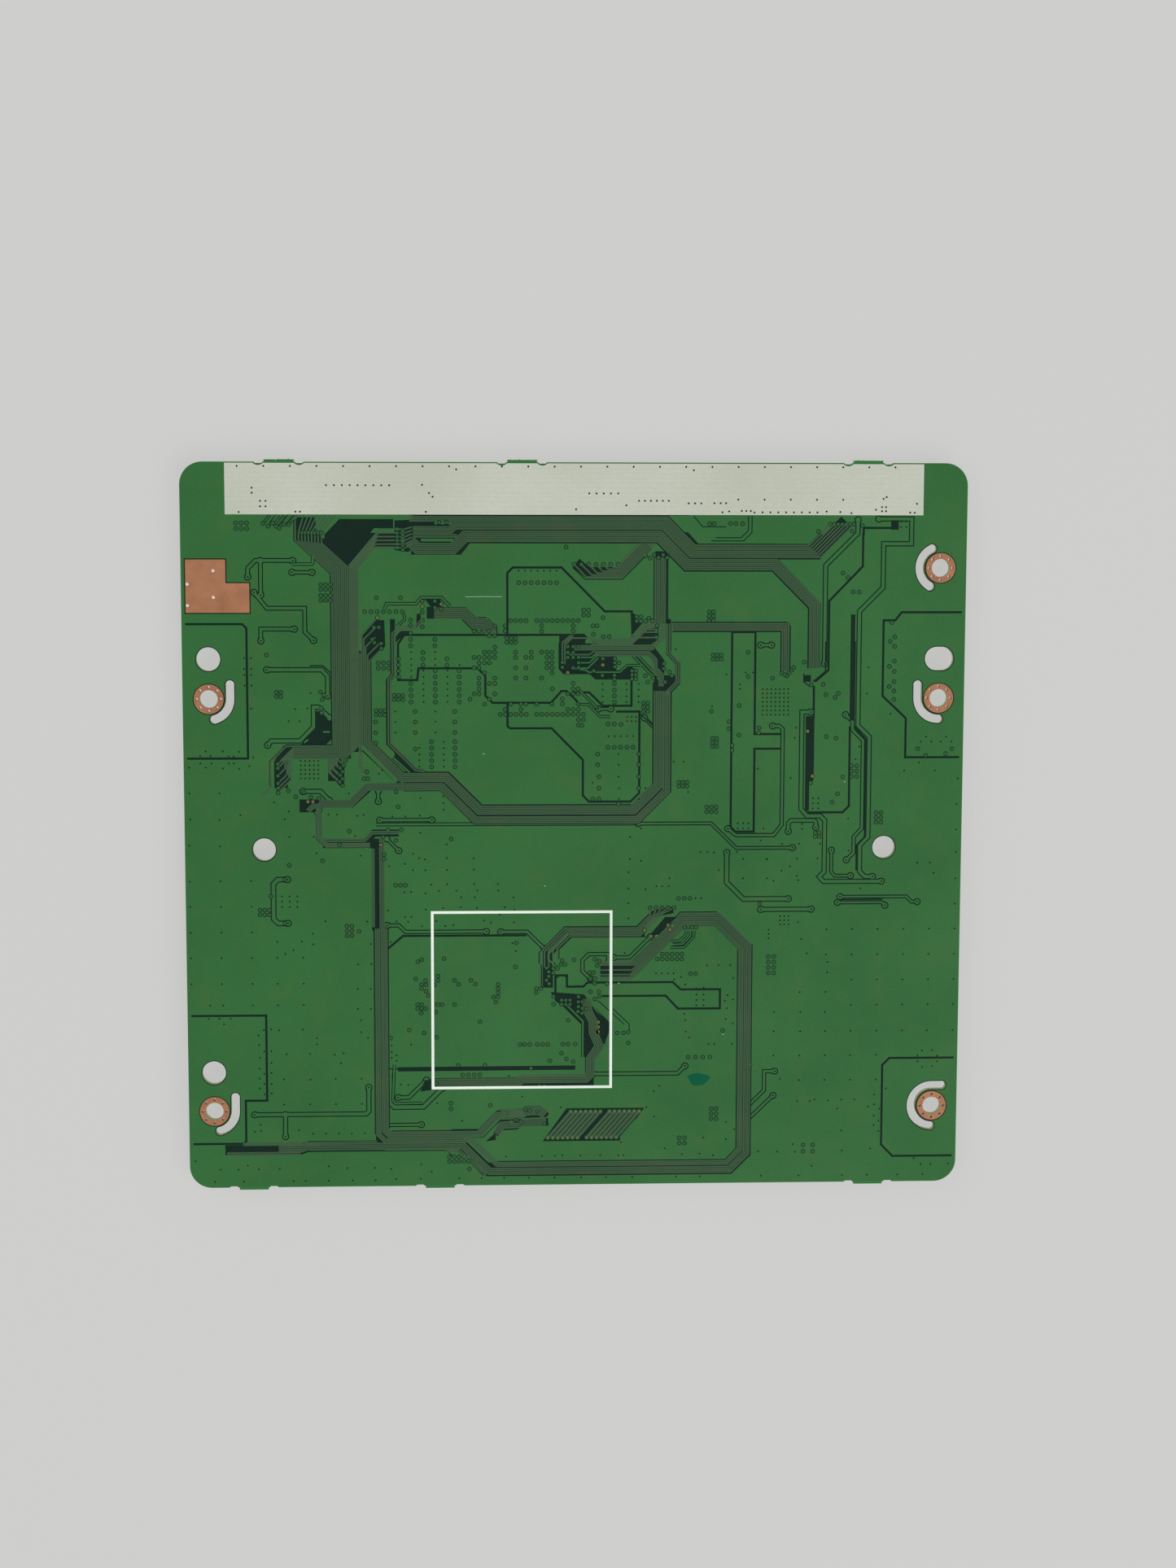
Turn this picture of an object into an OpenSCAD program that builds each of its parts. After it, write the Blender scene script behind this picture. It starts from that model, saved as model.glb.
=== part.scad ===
// Display timing controller board.
// It lies with its solder side up and rests on its four power inductors.
// X runs along the board's long side, Y towards the edge with the white strip, Z out of the solder side.

/* [Board] */
// Board size along X
board_w = 174; // [170:1:190]
// Board size along Y
board_l = 163; // [160:1:180]
// Laminate thickness
board_t = 1.6; // [0.8:0.1:2.4]
// Radius of the four board corners
corner_r = 5; // [1:0.5:8]

/* [Screw holes] */
// Diameter of the screw holes
screw_d = 4; // [3:0.1:4.6]
// Distance of every screw centre from the side edge
screw_inset = 5.75; // [5:0.25:7]
// Distance of the single top right screw from the top edge
top_screw_drop = 23.15; // [20:0.05:25]
// Distance of the upper pair of screws from the top edge
upper_screw_drop = 52.2; // [50:0.1:56]
// Distance of the lower pair of screws from the bottom edge
lower_screw_rise = 17.65; // [15:0.05:20]
// Outer diameter of the bare copper rings round the screws
land_d = 6.6; // [6:0.1:7.2]
// Number of vias in each ring
land_vias = 8; // [4:1:10]
// Diameter of those vias
land_via_d = 0.6; // [0.3:0.1:0.8]

/* [Relief slots] */
// Width of the curved slots beside the screws
slot_w = 1.9; // [1.4:0.1:2.1]
// Radius of their centre line about the screw
slot_r = 4.7; // [4.5:0.1:4.9]

/* [Locating holes] */
// Diameter of the locating holes
pin_d = 5.3; // [4:0.1:6]
// Length of the oblong one on the right
pin_slot_l = 6.4; // [6.1:0.1:8]
// Distance of a locating hole above its screw
pin_rise = 8.85; // [8.5:0.05:10]
// Diameter of the two side holes
side_hole_d = 5.1; // [4:0.1:6]
// Distance between the two side holes
side_hole_span = 138.8; // [136:0.2:142]
// Distance of the side holes from the bottom edge
side_hole_rise = 77.15; // [74:0.05:80]

/* [Breakaway tabs] */
// How far the broken tabs stand out of the long edges
tab_proud = 0.5; // [0.2:0.1:1]
// Distance between the two notches of a tab
tab_pitch = 9; // [7:0.5:12]
// Radius of the notches
notch_r = 1.25; // [0.8:0.05:1.6]
// Depth of the notches in the edge
notch_depth = 0.5; // [0.2:0.1:0.7]

/* [Copper] */
// Thickness of the copper with its green mask
copper_t = 0.05; // [0.03:0.01:0.2]
// Distance of the copper from the board edge
edge_margin = 0.3; // [0.2:0.1:1.5]
// Distance of the copper from holes and slots
hole_margin = 0.2; // [0.1:0.1:0.6]
// Width of the isolation gaps between copper areas
isolation_w = 0.5; // [0.3:0.05:0.8]
// Gap on each side of a track
track_gap = 0.25; // [0.1:0.05:0.4]
// Diameter of the pad at a track's end
pad_d = 1.1; // [0.8:0.1:1.4]

/* [Legend] */
// Thickness of the white ink
ink_t = 0.03; // [0.02:0.01:0.1]
// Length of the white strip along the top edge
strip_w = 154.3; // [140:0.1:156]
// Width of the white strip
strip_l = 11.25; // [8:0.25:14]
// Distance of the strip from the top edge
strip_edge = 0.25; // [0.1:0.05:1]
// Outer size of the white square
frame_size = 40.75; // [36:0.25:42]
// Line width of the white square
frame_line = 0.6; // [0.3:0.1:1.5]

/* [Ball grid packages] */
// Size of the timing controller package
controller_w = 31; // [27:1:33]
// Size of the image processor package
processor_w = 23; // [19:1:24]
// Height of the large packages above their balls
package_h = 1.7; // [1.2:0.1:2]
// Size of the memory packages along X
memory_w = 9; // [8:0.5:9]
// Size of the memory packages along Y
memory_l = 13; // [11:0.5:13]
// Height of the memory packages above their balls
memory_h = 0.9; // [0.6:0.1:1.1]
// Diameter of the solder balls
ball_d = 0.5; // [0.3:0.05:0.6]
// Height of the solder balls
ball_h = 0.35; // [0.2:0.05:0.5]
// Distance between the solder balls
ball_pitch = 1.27; // [0.8:0.01:1.5]

/* [Leaded and leadless packages] */
// Height of the leadless packages
leadless_h = 0.9; // [0.7:0.1:1.2]
// Body height of the leaded packages
leaded_h = 1.5; // [1:0.1:1.8]
// Distance between the leads
lead_pitch = 1.27; // [1:0.01:1.4]
// Width of a lead
lead_w = 0.42; // [0.3:0.02:0.5]
// Thickness of a lead
lead_t = 0.2; // [0.12:0.02:0.26]

/* [Power inductors] */
// Side of the square inductor
inductor_w = 8; // [6:0.5:9]
// Height of the inductors, which the board rests on
inductor_h = 4; // [3.2:0.1:6]
// Thickness of the moulded base
inductor_base_t = 0.5; // [0.3:0.1:0.8]
// Diameter of the drum core's flanges
drum_d = 6; // [5:0.1:6.4]
// Thickness of the drum core's flanges
flange_t = 0.7; // [0.4:0.1:1]
// Clearance round the drum core in its shield
drum_clearance = 0.2; // [0.1:0.05:0.3]

/* [Receptacles] */
// Width of a panel receptacle
panel_conn_w = 33; // [30:1:34]
// Width of the signal input receptacle
input_conn_w = 29; // [26:1:32]
// Depth of the receptacles from mouth to back
conn_depth = 5.4; // [4.5:0.1:6]
// Height of the receptacles
conn_h = 2.2; // [1.8:0.1:2.8]
// Thickness of their moulded walls
conn_wall = 0.7; // [0.5:0.1:0.9]
// Distance of the mouths from the board edge
conn_edge = 1.6; // [1:0.1:3]
// Distance between contacts
contact_pitch = 0.5; // [0.4:0.1:1]
// Width of a contact
contact_w = 0.2; // [0.1:0.05:0.3]
// Thickness of a contact
contact_t = 0.15; // [0.1:0.05:0.3]
// Length of the soldered contact tail
tail_l = 1; // [0.5:0.1:1.5]
// Sheet thickness of the metal shell and hold-downs
sheet_t = 0.2; // [0.1:0.05:0.3]

/* [Hidden] */
$fn = 48;

// The board's component face rests at the inductors' height.
seat_z = inductor_h;
face_z = seat_z + board_t;
ink_z = face_z + copper_t;
// Cuts run this far past the faces they open.
past = 1;

// Screw centres, each with its relief slot: first angle, last angle, tail before, tail after.
side_x = board_w / 2 - screw_inset;
top_y = board_l / 2;
upper_y = top_y - upper_screw_drop;
lower_y = -top_y + lower_screw_rise;
screws = [
    [[side_x, top_y - top_screw_drop], [115, 240, 0, 0]],
    [[-side_x, upper_y], [-75, 0, 0, 3.2]],
    [[side_x, upper_y], [180, 270, 3, 0]],
    [[-side_x, lower_y], [-75, 0, 0, 3.2]],
    [[side_x, lower_y], [90, 266, 2.2, 0]]];
left_pins = [[-side_x, upper_y + pin_rise], [-side_x, lower_y + pin_rise]];
right_pin = [side_x, upper_y + pin_rise];
side_hole_y = -top_y + side_hole_rise;

// The router leaves the round ends of the relief slots this much wider.
slot_end = 1.03;

// Centres of the breakaway tabs along the two long edges.
top_tabs = [-65.3, -11.9, 64.8];
bottom_tabs = [-72.6, -30.6, 66.9];

// Routes of the isolation gaps that run round a screw, measured from that screw.
screw_gaps = [
    [screws[1][0], [[-4.9, 16.6], [7.6, 16.6], [8.5, 15.7], [8.5, -13.2], [-4.9, -13.2]]],
    [screws[2][0], [[4.9, 19.2], [-8.6, 19.2], [-10, 17.4], [-12.6, 17.4], [-12.6, 0.5], [-7.3, -4.5],
        [-7.3, -13.3], [4.9, -13.3]]],
    [screws[3][0], [[-4.9, 21.9], [11.8, 21.9], [11.8, 2.4], [7, 2.4], [7, -6.9], [6.4, -7.5], [-4.9, -7.5]]],
    [screws[4][0], [[4.9, 11.1], [-9.8, 11.1], [-11.4, 9.5], [-11.4, -9], [-8.8, -11.7], [4.9, -11.7]]]];

// Routes of the other isolation gaps, from the board's centre.
area_gaps = [
    [[2, 43.5], [-38, 43.5], [-39.4, 41.5], [-39.4, 33.5], [-35.2, 33.5], [-34.9, 36.1], [-21.8, 36.1],
        [-20.1, 34.4], [-20.1, 30], [-18.5, 28.4], [-5.5, 28.4], [-3.2, 31], [-2, 31], [0.4, 28.6]],
    [[-15.2, 28.4], [-15.2, 23.2], [-14.6, 22.7], [-5.4, 22.7], [1.6, 15.6], [1.6, 7.6], [3, 6.2],
        [12.3, 6.2], [14.2, 8.1], [14.2, 26.4], [9, 26.4]],
    [[-15.2, 43.5], [-15.2, 57.2], [-14, 58.4], [-3.2, 58.4], [6.4, 48.7], [12.4, 48.7], [12.6, 43]],
    [[4.3, 33.8], [12.4, 33.8], [12.4, 27.7], [6, 27.7], [3, 30.7], [-1, 30.7]],
    [[40, 42], [40, 44.1], [34.8, 44.1], [34.8, 0.4], [35.8, -0.7], [40, -0.7], [40, 18], [46.3, 18]],
    [[40, 42], [40, 21.3], [46.3, 21.3]],
    [[53.2, 32], [53.2, 25], [51.7, 25], [51.7, 3.6], [60, 3.6], [61.4, 5], [61.4, 23]],
    [[63.8, 66], [63.8, 58.7], [56.4, 51], [56.4, 35.6], [53.4, 33]],
    [[5, -34.9], [22, -34.9], [23.8, -36.6], [32.7, -36.6], [32.7, -41], [23.2, -41], [20.4, -38], [6, -38]],
    [[-42.2, -27], [-38.7, -24], [-11, -24]],
    [[-40.3, -54.4], [0, -54.4]],
    [[-4.5, -38], [-4.5, -33.2], [-1.9, -33.2], [-1.9, -35.8], [1.8, -35.8], [2.7, -34.9], [6, -34.9]]];

// Bare patches with no copper.
bare_patches = [
    [[-57.8, 26.6], [-57.8, 23], [-61, 19.2], [-56.2, 18.5], [-53.5, 21], [-53.5, 24.3], [-57.2, 26.6]],
    [[-52.1, 69], [-55.4, 65.6], [-55.4, 62.8], [-51.4, 58.5], [-44.5, 67], [-40.3, 67], [-40.3, 69]],
    [[-61.5, 6.9], [-61.5, 4], [-57, 4], [-57, 6.9]],
    [[-3.7, 43.5], [-3.7, 36], [-2.7, 34.9], [3.1, 34.9], [4.3, 33.7], [13, 33.7], [13, 36], [8.5, 39],
        [2, 43.5]],
    [[51.5, 25.3], [51.5, 4], [52.4, 4], [52.4, 10], [53.4, 11], [53.4, 25.3]],
    [[61.3, 48], [61.3, 24], [62.3, 24], [62.3, 48]],
    [[17, -23.8], [20.2, -20], [24, -20], [19.2, -24.8]],
    [[-5.6, -37], [-4, -41], [2, -47], [2, -52], [6.5, -49], [8.2, -45], [4.5, -40], [2, -37.6]]];

// Ribbons of fine tracks: width and centre line.
buses = [
    [4.6, [[-59.6, 69.4], [-59.6, 65.3], [-51.2, 57.6], [-51.2, 52]]],
    [5.7, [[-51.2, 57.2], [-51.2, 38]]],
    [8.4, [[-49.85, 40], [-49.85, 17.5]]],
    [3, [[-37, 64.5], [-45, 64.5], [-50, 59]]],
    [3, [[-50, 17.5], [-64, 17.5], [-65.5, 15], [-65.5, 9.5]]],
    [3, [[-53.6, 18], [-53.6, 11]]],
    [6.2, [[-36, 66.8], [19.1, 66.8], [25.3, 60.6], [44.5, 60.6]]],
    [2.4, [[-36.4, 62.4], [-26, 62.4], [-24, 65]]],
    [2.4, [[0, 59.4], [2.6, 57.3], [9.8, 57.3], [16, 63.4]]],
    [2.9, [[42.5, 59], [44.1, 59], [53.1, 49.9], [53.1, 36]]],
    [3.2, [[43, 61.8], [53.5, 61.8], [60, 68.6]]],
    [2.7, [[18.9, 62], [18.9, 46]]],
    [1.9, [[21.5, 45.2], [46.7, 45.2], [46.7, 35.5]]],
    [1, [[20.6, 47], [20.6, 39.4], [22.6, 37.2], [22.6, 32.8], [20, 30.5]]],
    [2.2, [[0, 40.1], [16.6, 40.1], [18.6, 37.5], [18.6, 31]]],
    [2.6, [[-33, 48.4], [-25, 48.4], [-22.4, 45.8], [-17, 45.8]]],
    [1.1, [[-40.6, 47], [-40.6, 34.6], [-41.6, 33.4], [-41.6, 19.4], [-36, 13.6], [-33, 12.4]]],
    [4.3, [[19.25, 33], [19.25, 9.2], [13.4, 3.3], [-21.9, 3.3], [-29.3, 10.8], [-38.4, 10.8]]],
    [2.7, [[-48, 20], [-38.5, 11]]],
    [1.7, [[-36, 9.65], [-45.9, 9.65], [-50, 5.9], [-57.5, 5.9]]],
    [1.2, [[-57.3, 5.5], [-57.3, -1.8], [-56, -3]]],
    [2.1, [[-56.4, -3], [-44, -3]]],
    [1.6, [[-47, -3], [-45, -0.7], [-39.5, -0.7]]],
    [2.9, [[-44.2, -2], [-44.2, -22], [-43.6, -23], [-43.6, -71]]],
    [2.3, [[-79, -72.8], [-62, -72.8], [-60, -72], [-43, -72]]],
    [4, [[-45, -70.9], [-26.5, -70.9]]],
    [3, [[5.6, -32.2], [12.6, -32.2], [24.3, -20.6], [31.9, -20.6], [38.3, -27], [38.3, -74.6],
        [35.2, -77.7], [-20.3, -77.7], [-27, -71]]],
    [2.3, [[15.6, -23.4], [-1.6, -23.4], [-6.2, -28], [-6.2, -36]]],
    [1.5, [[13.6, -23.2], [17.5, -19.3], [22, -18.4]]],
    [2, [[-33, -57.8], [3.2, -57.8], [3.2, -52], [5.2, -49.5], [3.3, -45.5], [3.3, -43], [0, -39.5]]],
    [1.6, [[-28, -69.2], [-21.6, -69.2], [-17.4, -65], [-8, -64.4]]]];

// Single tracks: width and centre line.
tracks = [
    [0.6, [[-72.3, 56.3], [-72.3, 58.2], [-70.6, 59.9], [-62.4, 59.9]]],
    [0.6, [[-69.5, 59.9], [-69.5, 52.3]]],
    [0.6, [[-71, 52.9], [-68.2, 49.4], [-59.9, 49.4], [-59.9, 44.2], [-58, 42.3]]],
    [0.6, [[-69.6, 42.2], [-69.6, 44.8], [-62.2, 44.8]]],
    [0.5, [[-62.6, 57.3], [-58.2, 57.3]]],
    [0.7, [[-68.4, 35.8], [-56.3, 35.8], [-55, 34.4], [-55, 30]]],
    [0.7, [[-54.6, 25.1], [-57.1, 27.5], [-58.2, 27.5], [-58.2, 23.1], [-61.2, 20], [-67.6, 20], [-68.4, 19]]],
    [0.7, [[-60.7, 8.7], [-56.8, 8.7], [-54.8, 6.6]]],
    [0.5, [[-44, 8.8], [-44, 6.4]]],
    [0.5, [[-43.7, 2.2], [-32.1, 2.2]]],
    [0.4, [[14, 1.2], [30.4, 1.2], [36.1, -4.4], [48.8, -4.4]]],
    [0.7, [[62.6, 69], [62.6, 66], [55.5, 58.9], [55.5, 37]]],
    [0.7, [[67.2, 69.2], [74.6, 69.2], [74.6, 63.7], [68.4, 63.7], [68.4, 54], [63.2, 48.7], [63.2, 23.2],
        [65.8, 20.6], [65.8, -2], [64, -3.9], [64, -9.8], [65.2, -11], [67, -11]]],
    [0.5, [[60.4, 25.6], [62, 24], [62, 22.2], [64.4, 19.8], [64.4, 0], [62.6, -2], [62.6, -5.6], [61, -7.2]]],
    [0.7, [[52.6, 26.2], [50.6, 26.2], [50.6, 4.4], [52, 2.8], [55, 2.8], [56, 1.8], [56, -9.9],
        [54.9, -11], [55.9, -12.1], [69, -12.1]]],
    [0.5, [[44, 23.1], [45.6, 23.1], [46.3, 22.4], [46.3, 0.8], [44.5, -1.5], [36, -1.5], [34.2, 0]]],
    [0.6, [[54, 0.2], [54, 1.4], [53.6, 1.8], [48.4, 1.8], [47.8, 1.2], [47.8, -0.7]]],
    [0.8, [[34, -5.4], [34, -12.2], [37.8, -16], [48, -16]]],
    [0.7, [[41.7, -18.4], [53.2, -18.4]]],
    [0.4, [[57.6, -5], [57.6, -9.8], [58.4, -10.8], [62, -10.8]]],
    [0.4, [[59.7, -15.6], [74.7, -15.6], [75.9, -16.8], [77.2, -16.8]]],
    [0.4, [[59.1, -16.9], [69.2, -16.9], [69.9, -17.6]]],
    [0.8, [[-64.3, -11.1], [-66.5, -11.1], [-67.5, -12.1], [-67.5, -20], [-66.5, -21], [-64.3, -21]]],
    [0.7, [[-72.3, -64.7], [-47.2, -64.7], [-46.6, -64.1], [-46.6, -58.6]]],
    [0.7, [[-65.4, -64.7], [-65.4, -69.8]]],
    [0.5, [[-42.2, -21.6], [-39.6, -21.6], [-38.1, -23.1], [-20, -23.1]]],
    [0.5, [[-16.8, -23.2], [-10.9, -23.2], [-7, -27.1]]],
    [0.8, [[-41.8, -55], [-41.8, -62.3], [-40.9, -63.2], [-34.3, -63.2], [-30, -58.9]]],
    [0.6, [[-40, -61], [-37.6, -61], [-33.6, -57]]],
    [0.5, [[-43, -67.3], [-34.8, -67.3]]],
    [0.6, [[4, -55.9], [23.2, -55.9], [24.9, -54.2]]],
    [0.5, [[7.4, -30.3], [7.4, -28.4], [3, -28.4], [1.6, -29.8], [1.6, -32.3], [3.4, -34]]],
    [0.5, [[8.6, -29.2], [12.2, -29.2], [16.9, -24.5]]],
    [0.5, [[39, -67], [45, -61.2]]],
    [0.5, [[45.3, -55.6], [42.9, -55.6], [42.9, -60], [39, -63.9]]],
    [0.5, [[41.2, 41.2], [43.6, 41.2]]],
    [0.4, [[5, 27], [7.8, 27]]],
    [0.4, [[-42.2, -2], [-39.5, -4.7]]],
    [0.5, [[15.3, 25], [18, 22.4]]]];

// The comb of slanted coupling tracks: two groups, each a row of tracks from a low to a high pad.
comb_starts = [[-6.2, -70.6], [2.6, -70.6]];
comb_slant = [5.2, 6];
comb_count = 7;
comb_pitch = 1.12;
comb_track_w = 0.6;
comb_pad_d = 0.9;
comb_margin = 0.7;

// The board's left and right edges.
left_edge = -board_w / 2;
right_edge = board_w / 2;

// The bare copper land in the upper left, measured from the left edge.
land_points = [for (p = [[1, 60.1], [1, 48.4], [15, 48.4], [15, 54.9], [9.8, 54.9], [9.8, 60.1]])
    p + [left_edge, 0]];

// Places of the components, from the board's centre.
frame_at = [-12.05, -38.8];
processor_at = [-11, 33];
memory_at = [[-32.4, 35], [-31.3, 20], [9.7, 12.6], [9.7, 28.2]];
power_manager_at = [44.6, 28.5];
level_shifter_at = [-59.2, 13.6];
gamma_buffer_at = [27.5, 30];
left_converter_at = [-64, -16.1];
right_converter_at = [47.1, -20.9];
flash_at = [27.5, -45];
settings_at = [-53, -50];
crystal_at = [-26.5, -12];
fuse_at = [24, -74];
panel_conn_x = [-56.4, -18.8, 18.8, 56.4];
input_conn_x = 1.5;

// Power stages: the inductors keep their distance from a side edge, and the rest stand beside them.
inductor_at = [[left_edge + 21, 34], [right_edge - 30, 18], [right_edge - 33, -32], [left_edge + 30, -27]];
diode_at = [for (d = [[1, 9.5, 2.5], [1, 9.5, -2.5], [2, 9.5, 0], [3, -9, 0]])
    inductor_at[d[0]] + [d[1], d[2]]];
transistor_at = [for (t = [[1, -5.5, -9.5], [0, 0, -10], [0, 9, -8], [1, -16, -4]])
    inductor_at[t[0]] + [t[1], t[2]]];

// Package sizes along X and Y.
power_manager_w = 9;
level_shifter_w = 7;
gamma_buffer_w = 7;
right_converter_w = 4;
left_converter_size = [5, 4];
flash_size = [5.2, 5.2];
settings_size = [5, 3.9];
leads_per_side = 4;
lead_foot = 0.7;
lead_reach = 1.1;
crystal_size = [3.2, 2.5, 0.8];
diode_size = [4.4, 2.6, 2];
transistor_size = [2.9, 1.6, 1.1];
mould_draft = 0.15;
substrate_t = 0.5;
cap_inset = 1;

// Chip parts: length, width, height, and the share of the length under each end terminal.
small_chip = [1.6, 0.8, 0.7];
tiny_chip = [1, 0.5, 0.45];
large_chip = [3.2, 2.5, 1.9];
end_share = 0.2;
decoupling_gap = 1.6;
decoupling_pitch = 3;

// Places and turns of the chip parts, by kind.
large_caps = concat([[31, 18, 90], [31, 8, 90]],
    [for (c = [[0, 9, 1, 90], [0, 9, 8, 90], [1, -8, 0, 0], [1, 7.5, -6.5, 90], [1, 7.5, -14, 90],
            [2, -8, 1, 90], [2, -8, -5, 90], [2, 8, 6, 0], [3, 8.5, 2, 90], [3, 8.5, -6, 90], [3, -9, -6, 0]])
        concat(inductor_at[c[0]] + [c[1], c[2]], [c[3]])]);
capacitors = concat(
    around(frame_at, [controller_w, controller_w]),
    around(processor_at, [processor_w, processor_w]),
    [for (i = [0:13]) [input_conn_x - 7.3 + i * comb_pitch, -68, 90]],
    [for (x = [-1, 1], i = [-1, 0, 1]) [power_manager_at[0] + x * 7, power_manager_at[1] + i * 3, 90]],
    [for (x = [-1, 1], i = [-1, 0, 1]) [level_shifter_at[0] + x * 6, level_shifter_at[1] + i * 3, 90]]);
resistors = concat(
    [for (x = panel_conn_x, i = [-4:4]) [x + i * 3.2, 68, 90]],
    [for (i = [0:5]) [-48 + i * 2.4, -64, 90]],
    [for (i = [0:4]) [36.5, -42 - i * 3, 0]],
    [for (i = [0:4]) [22 + i * 2.6, 38, 90]]);
beads = [for (i = [0:3]) [26 + i * 4, -66, 90]];

// Left-hand normal and unit vector of a flat vector.
function left(v) = [-v[1], v[0]];
function unit(v) = v / norm(v);

// A path's points shifted sideways by s, with mitred corners.
function shifted(path, s) = [for (i = [0:len(path) - 1])
    let (
        before = i > 0 ? unit(path[i] - path[i - 1]) : unit(path[1] - path[0]),
        after = i < len(path) - 1 ? unit(path[i + 1] - path[i]) : before)
    path[i] + (left(before) + left(after)) * s / (1 + before * after)];
function reversed(list) = [for (i = [len(list) - 1:-1:0]) list[i]];
function ribbon(path, w) = concat(shifted(path, w / 2), reversed(shifted(path, -w / 2)));

// The end of a track at point p, heading u: a pad of size d on a track of width w.
function pad_end(p, u, w, d) = let (n = left(u), e = d / 2, c = d / 5)
    [for (q = [[-e, -w / 2], [-c, -e], [c, -e], [e, -c], [e, c], [c, e], [-c, e], [-e, w / 2]])
        p + q[0] * u + q[1] * n];
function inner(list) = [for (i = [1:1:len(list) - 2]) list[i]];

// Outline of a track with a pad at both ends.
function track(path, w, d) = let (last = len(path) - 1) concat(
    pad_end(path[last], unit(path[last] - path[last - 1]), w, d),
    reversed(inner(shifted(path, w / 2))),
    pad_end(path[0], unit(path[0] - path[1]), w, d),
    inner(shifted(path, -w / 2)));

// A closed outline with every side moved outwards by s.
function widened(loop, s) = let (n = len(loop)) [for (i = [0:n - 1])
    let (before = unit(loop[i] - loop[(i + n - 1) % n]), after = unit(loop[(i + 1) % n] - loop[i]))
    loop[i] - (left(before) + left(after)) * s / (1 + before * after)];
function moved(path, by) = [for (p = path) p + by];

// A sector from angle a to angle b that covers the relief slots.
function sector(a, b) = concat([[0, 0]], [for (k = [0:4]) let (t = a + (b - a) * k / 4)
    2.5 * slot_r * [cos(t), sin(t)]]);

// Side profile of a moulded block: w wide at the foot, h high.
function drafted(w, h) = [[-w / 2, 0], [w / 2, 0], [w / 2 - mould_draft, h], [-w / 2 + mould_draft, h]];

// Rows of chip parts round a square or oblong package.
function around(at, size) = [for (turn = [0, 90, 180, 270])
    let (
        across = turn % 180 == 0 ? size[0] : size[1],
        out = (turn % 180 == 0 ? size[1] : size[0]) / 2 + decoupling_gap,
        n = floor(across / decoupling_pitch / 2) - 1)
    for (i = [-n:n]) concat(at + turned([i * decoupling_pitch, out], turn), [turn])];
function turned(p, a) = [p[0] * cos(a) - p[1] * sin(a), p[0] * sin(a) + p[1] * cos(a)];

module rounded_rect(w, l, r) {
    square([w - 2 * r, l], center = true);
    square([w, l - 2 * r], center = true);
    for (x = [-1, 1], y = [-1, 1]) translate([x * (w / 2 - r), y * (l / 2 - r)]) circle(r);
}

// Both notches of every tab, widened by a margin.
module notches(margin) {
    for (side = [[top_tabs, 1], [bottom_tabs, -1]], x = side[0], e = [-1, 1])
        translate([x + e * tab_pitch / 2, side[1] * (top_y - notch_depth + notch_r)])
            circle(notch_r + margin);
}

module board_outline() {
    difference() {
        union() {
            rounded_rect(board_w, board_l, corner_r);
            for (side = [[top_tabs, 1], [bottom_tabs, -1]], x = side[0])
                translate([x, side[1] * (top_y + tab_proud - corner_r / 2)])
                    square([tab_pitch - 2 * notch_r, corner_r], center = true);
        }
        notches(0);
    }
}

module relief_slot(spec, w) {
    intersection() {
        difference() {
            circle(slot_r + w / 2);
            circle(slot_r - w / 2);
        }
        polygon(sector(spec[0], spec[1]));
    }
    if (spec[2] > 0) rotate(spec[0]) translate([slot_r - w / 2, -spec[2]]) square([w, spec[2]]);
    if (spec[3] > 0) rotate(spec[1]) translate([slot_r - w / 2, 0]) square([w, spec[3]]);
    rotate(spec[0]) translate([slot_r, -spec[2]]) circle(slot_end * w / 2);
    rotate(spec[1]) translate([slot_r, spec[3]]) circle(slot_end * w / 2);
}

// Every opening of the board, widened by a margin.
module openings(margin) {
    for (s = screws) translate(s[0]) {
        circle(screw_d / 2 + margin);
        relief_slot(s[1], slot_w + 2 * margin);
    }
    for (p = left_pins) translate(p) circle(pin_d / 2 + margin);
    translate(right_pin) {
        square([pin_slot_l - pin_d, pin_d + 2 * margin], center = true);
        for (x = [-1, 1]) translate([x * (pin_slot_l - pin_d) / 2, 0]) circle(pin_d / 2 + margin);
    }
    for (x = [-1, 1]) translate([x * side_hole_span / 2, side_hole_y]) circle(side_hole_d / 2 + margin);
}

// The vias of one ring land, about its screw.
module land_via_holes() {
    for (k = [1:land_vias]) rotate(360 * k / land_vias)
        translate([(land_d + screw_d) / 4, 0]) circle(land_via_d / 2);
}

module ring_lands() {
    linear_extrude(copper_t) for (s = screws) translate(s[0]) difference() {
        circle(land_d / 2);
        circle(screw_d / 2);
        land_via_holes();
    }
}

// Ribbons of tracks, narrower by a gap on each side.
module bus_shapes(gap) {
    for (b = buses) polygon(ribbon(b[1], b[0] - 2 * gap));
}

// Single tracks with their end pads, widened by a gap on each side.
module track_shapes(gap) {
    for (t = tracks) polygon(track(t[1], t[0] + 2 * gap, pad_d + 2 * gap));
}

// Corners of one comb group, widened by a margin.
function comb_window(start) = let (
    run = [comb_pitch * (comb_count - 1), 0],
    low = [comb_margin, comb_pad_d / 2 + comb_margin / 2],
    side = [1.4 * comb_margin, 0])
    [start - low - side / 2, start + run + [side[0], -low[1]], start + run + comb_slant + low + side / 2,
        start + comb_slant - [side[0], -low[1]]];

module comb_tracks() {
    for (start = comb_starts, i = [0:comb_count - 1]) translate(start + [i * comb_pitch, 0])
        polygon(track([[0, 0], comb_slant], comb_track_w, comb_pad_d));
}

module isolation_shapes() {
    for (g = screw_gaps) polygon(ribbon(moved(g[1], g[0]), isolation_w));
    for (path = area_gaps) polygon(ribbon(path, isolation_w));
    for (patch = bare_patches) polygon(patch);
    for (start = comb_starts) polygon(comb_window(start));
}

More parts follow.
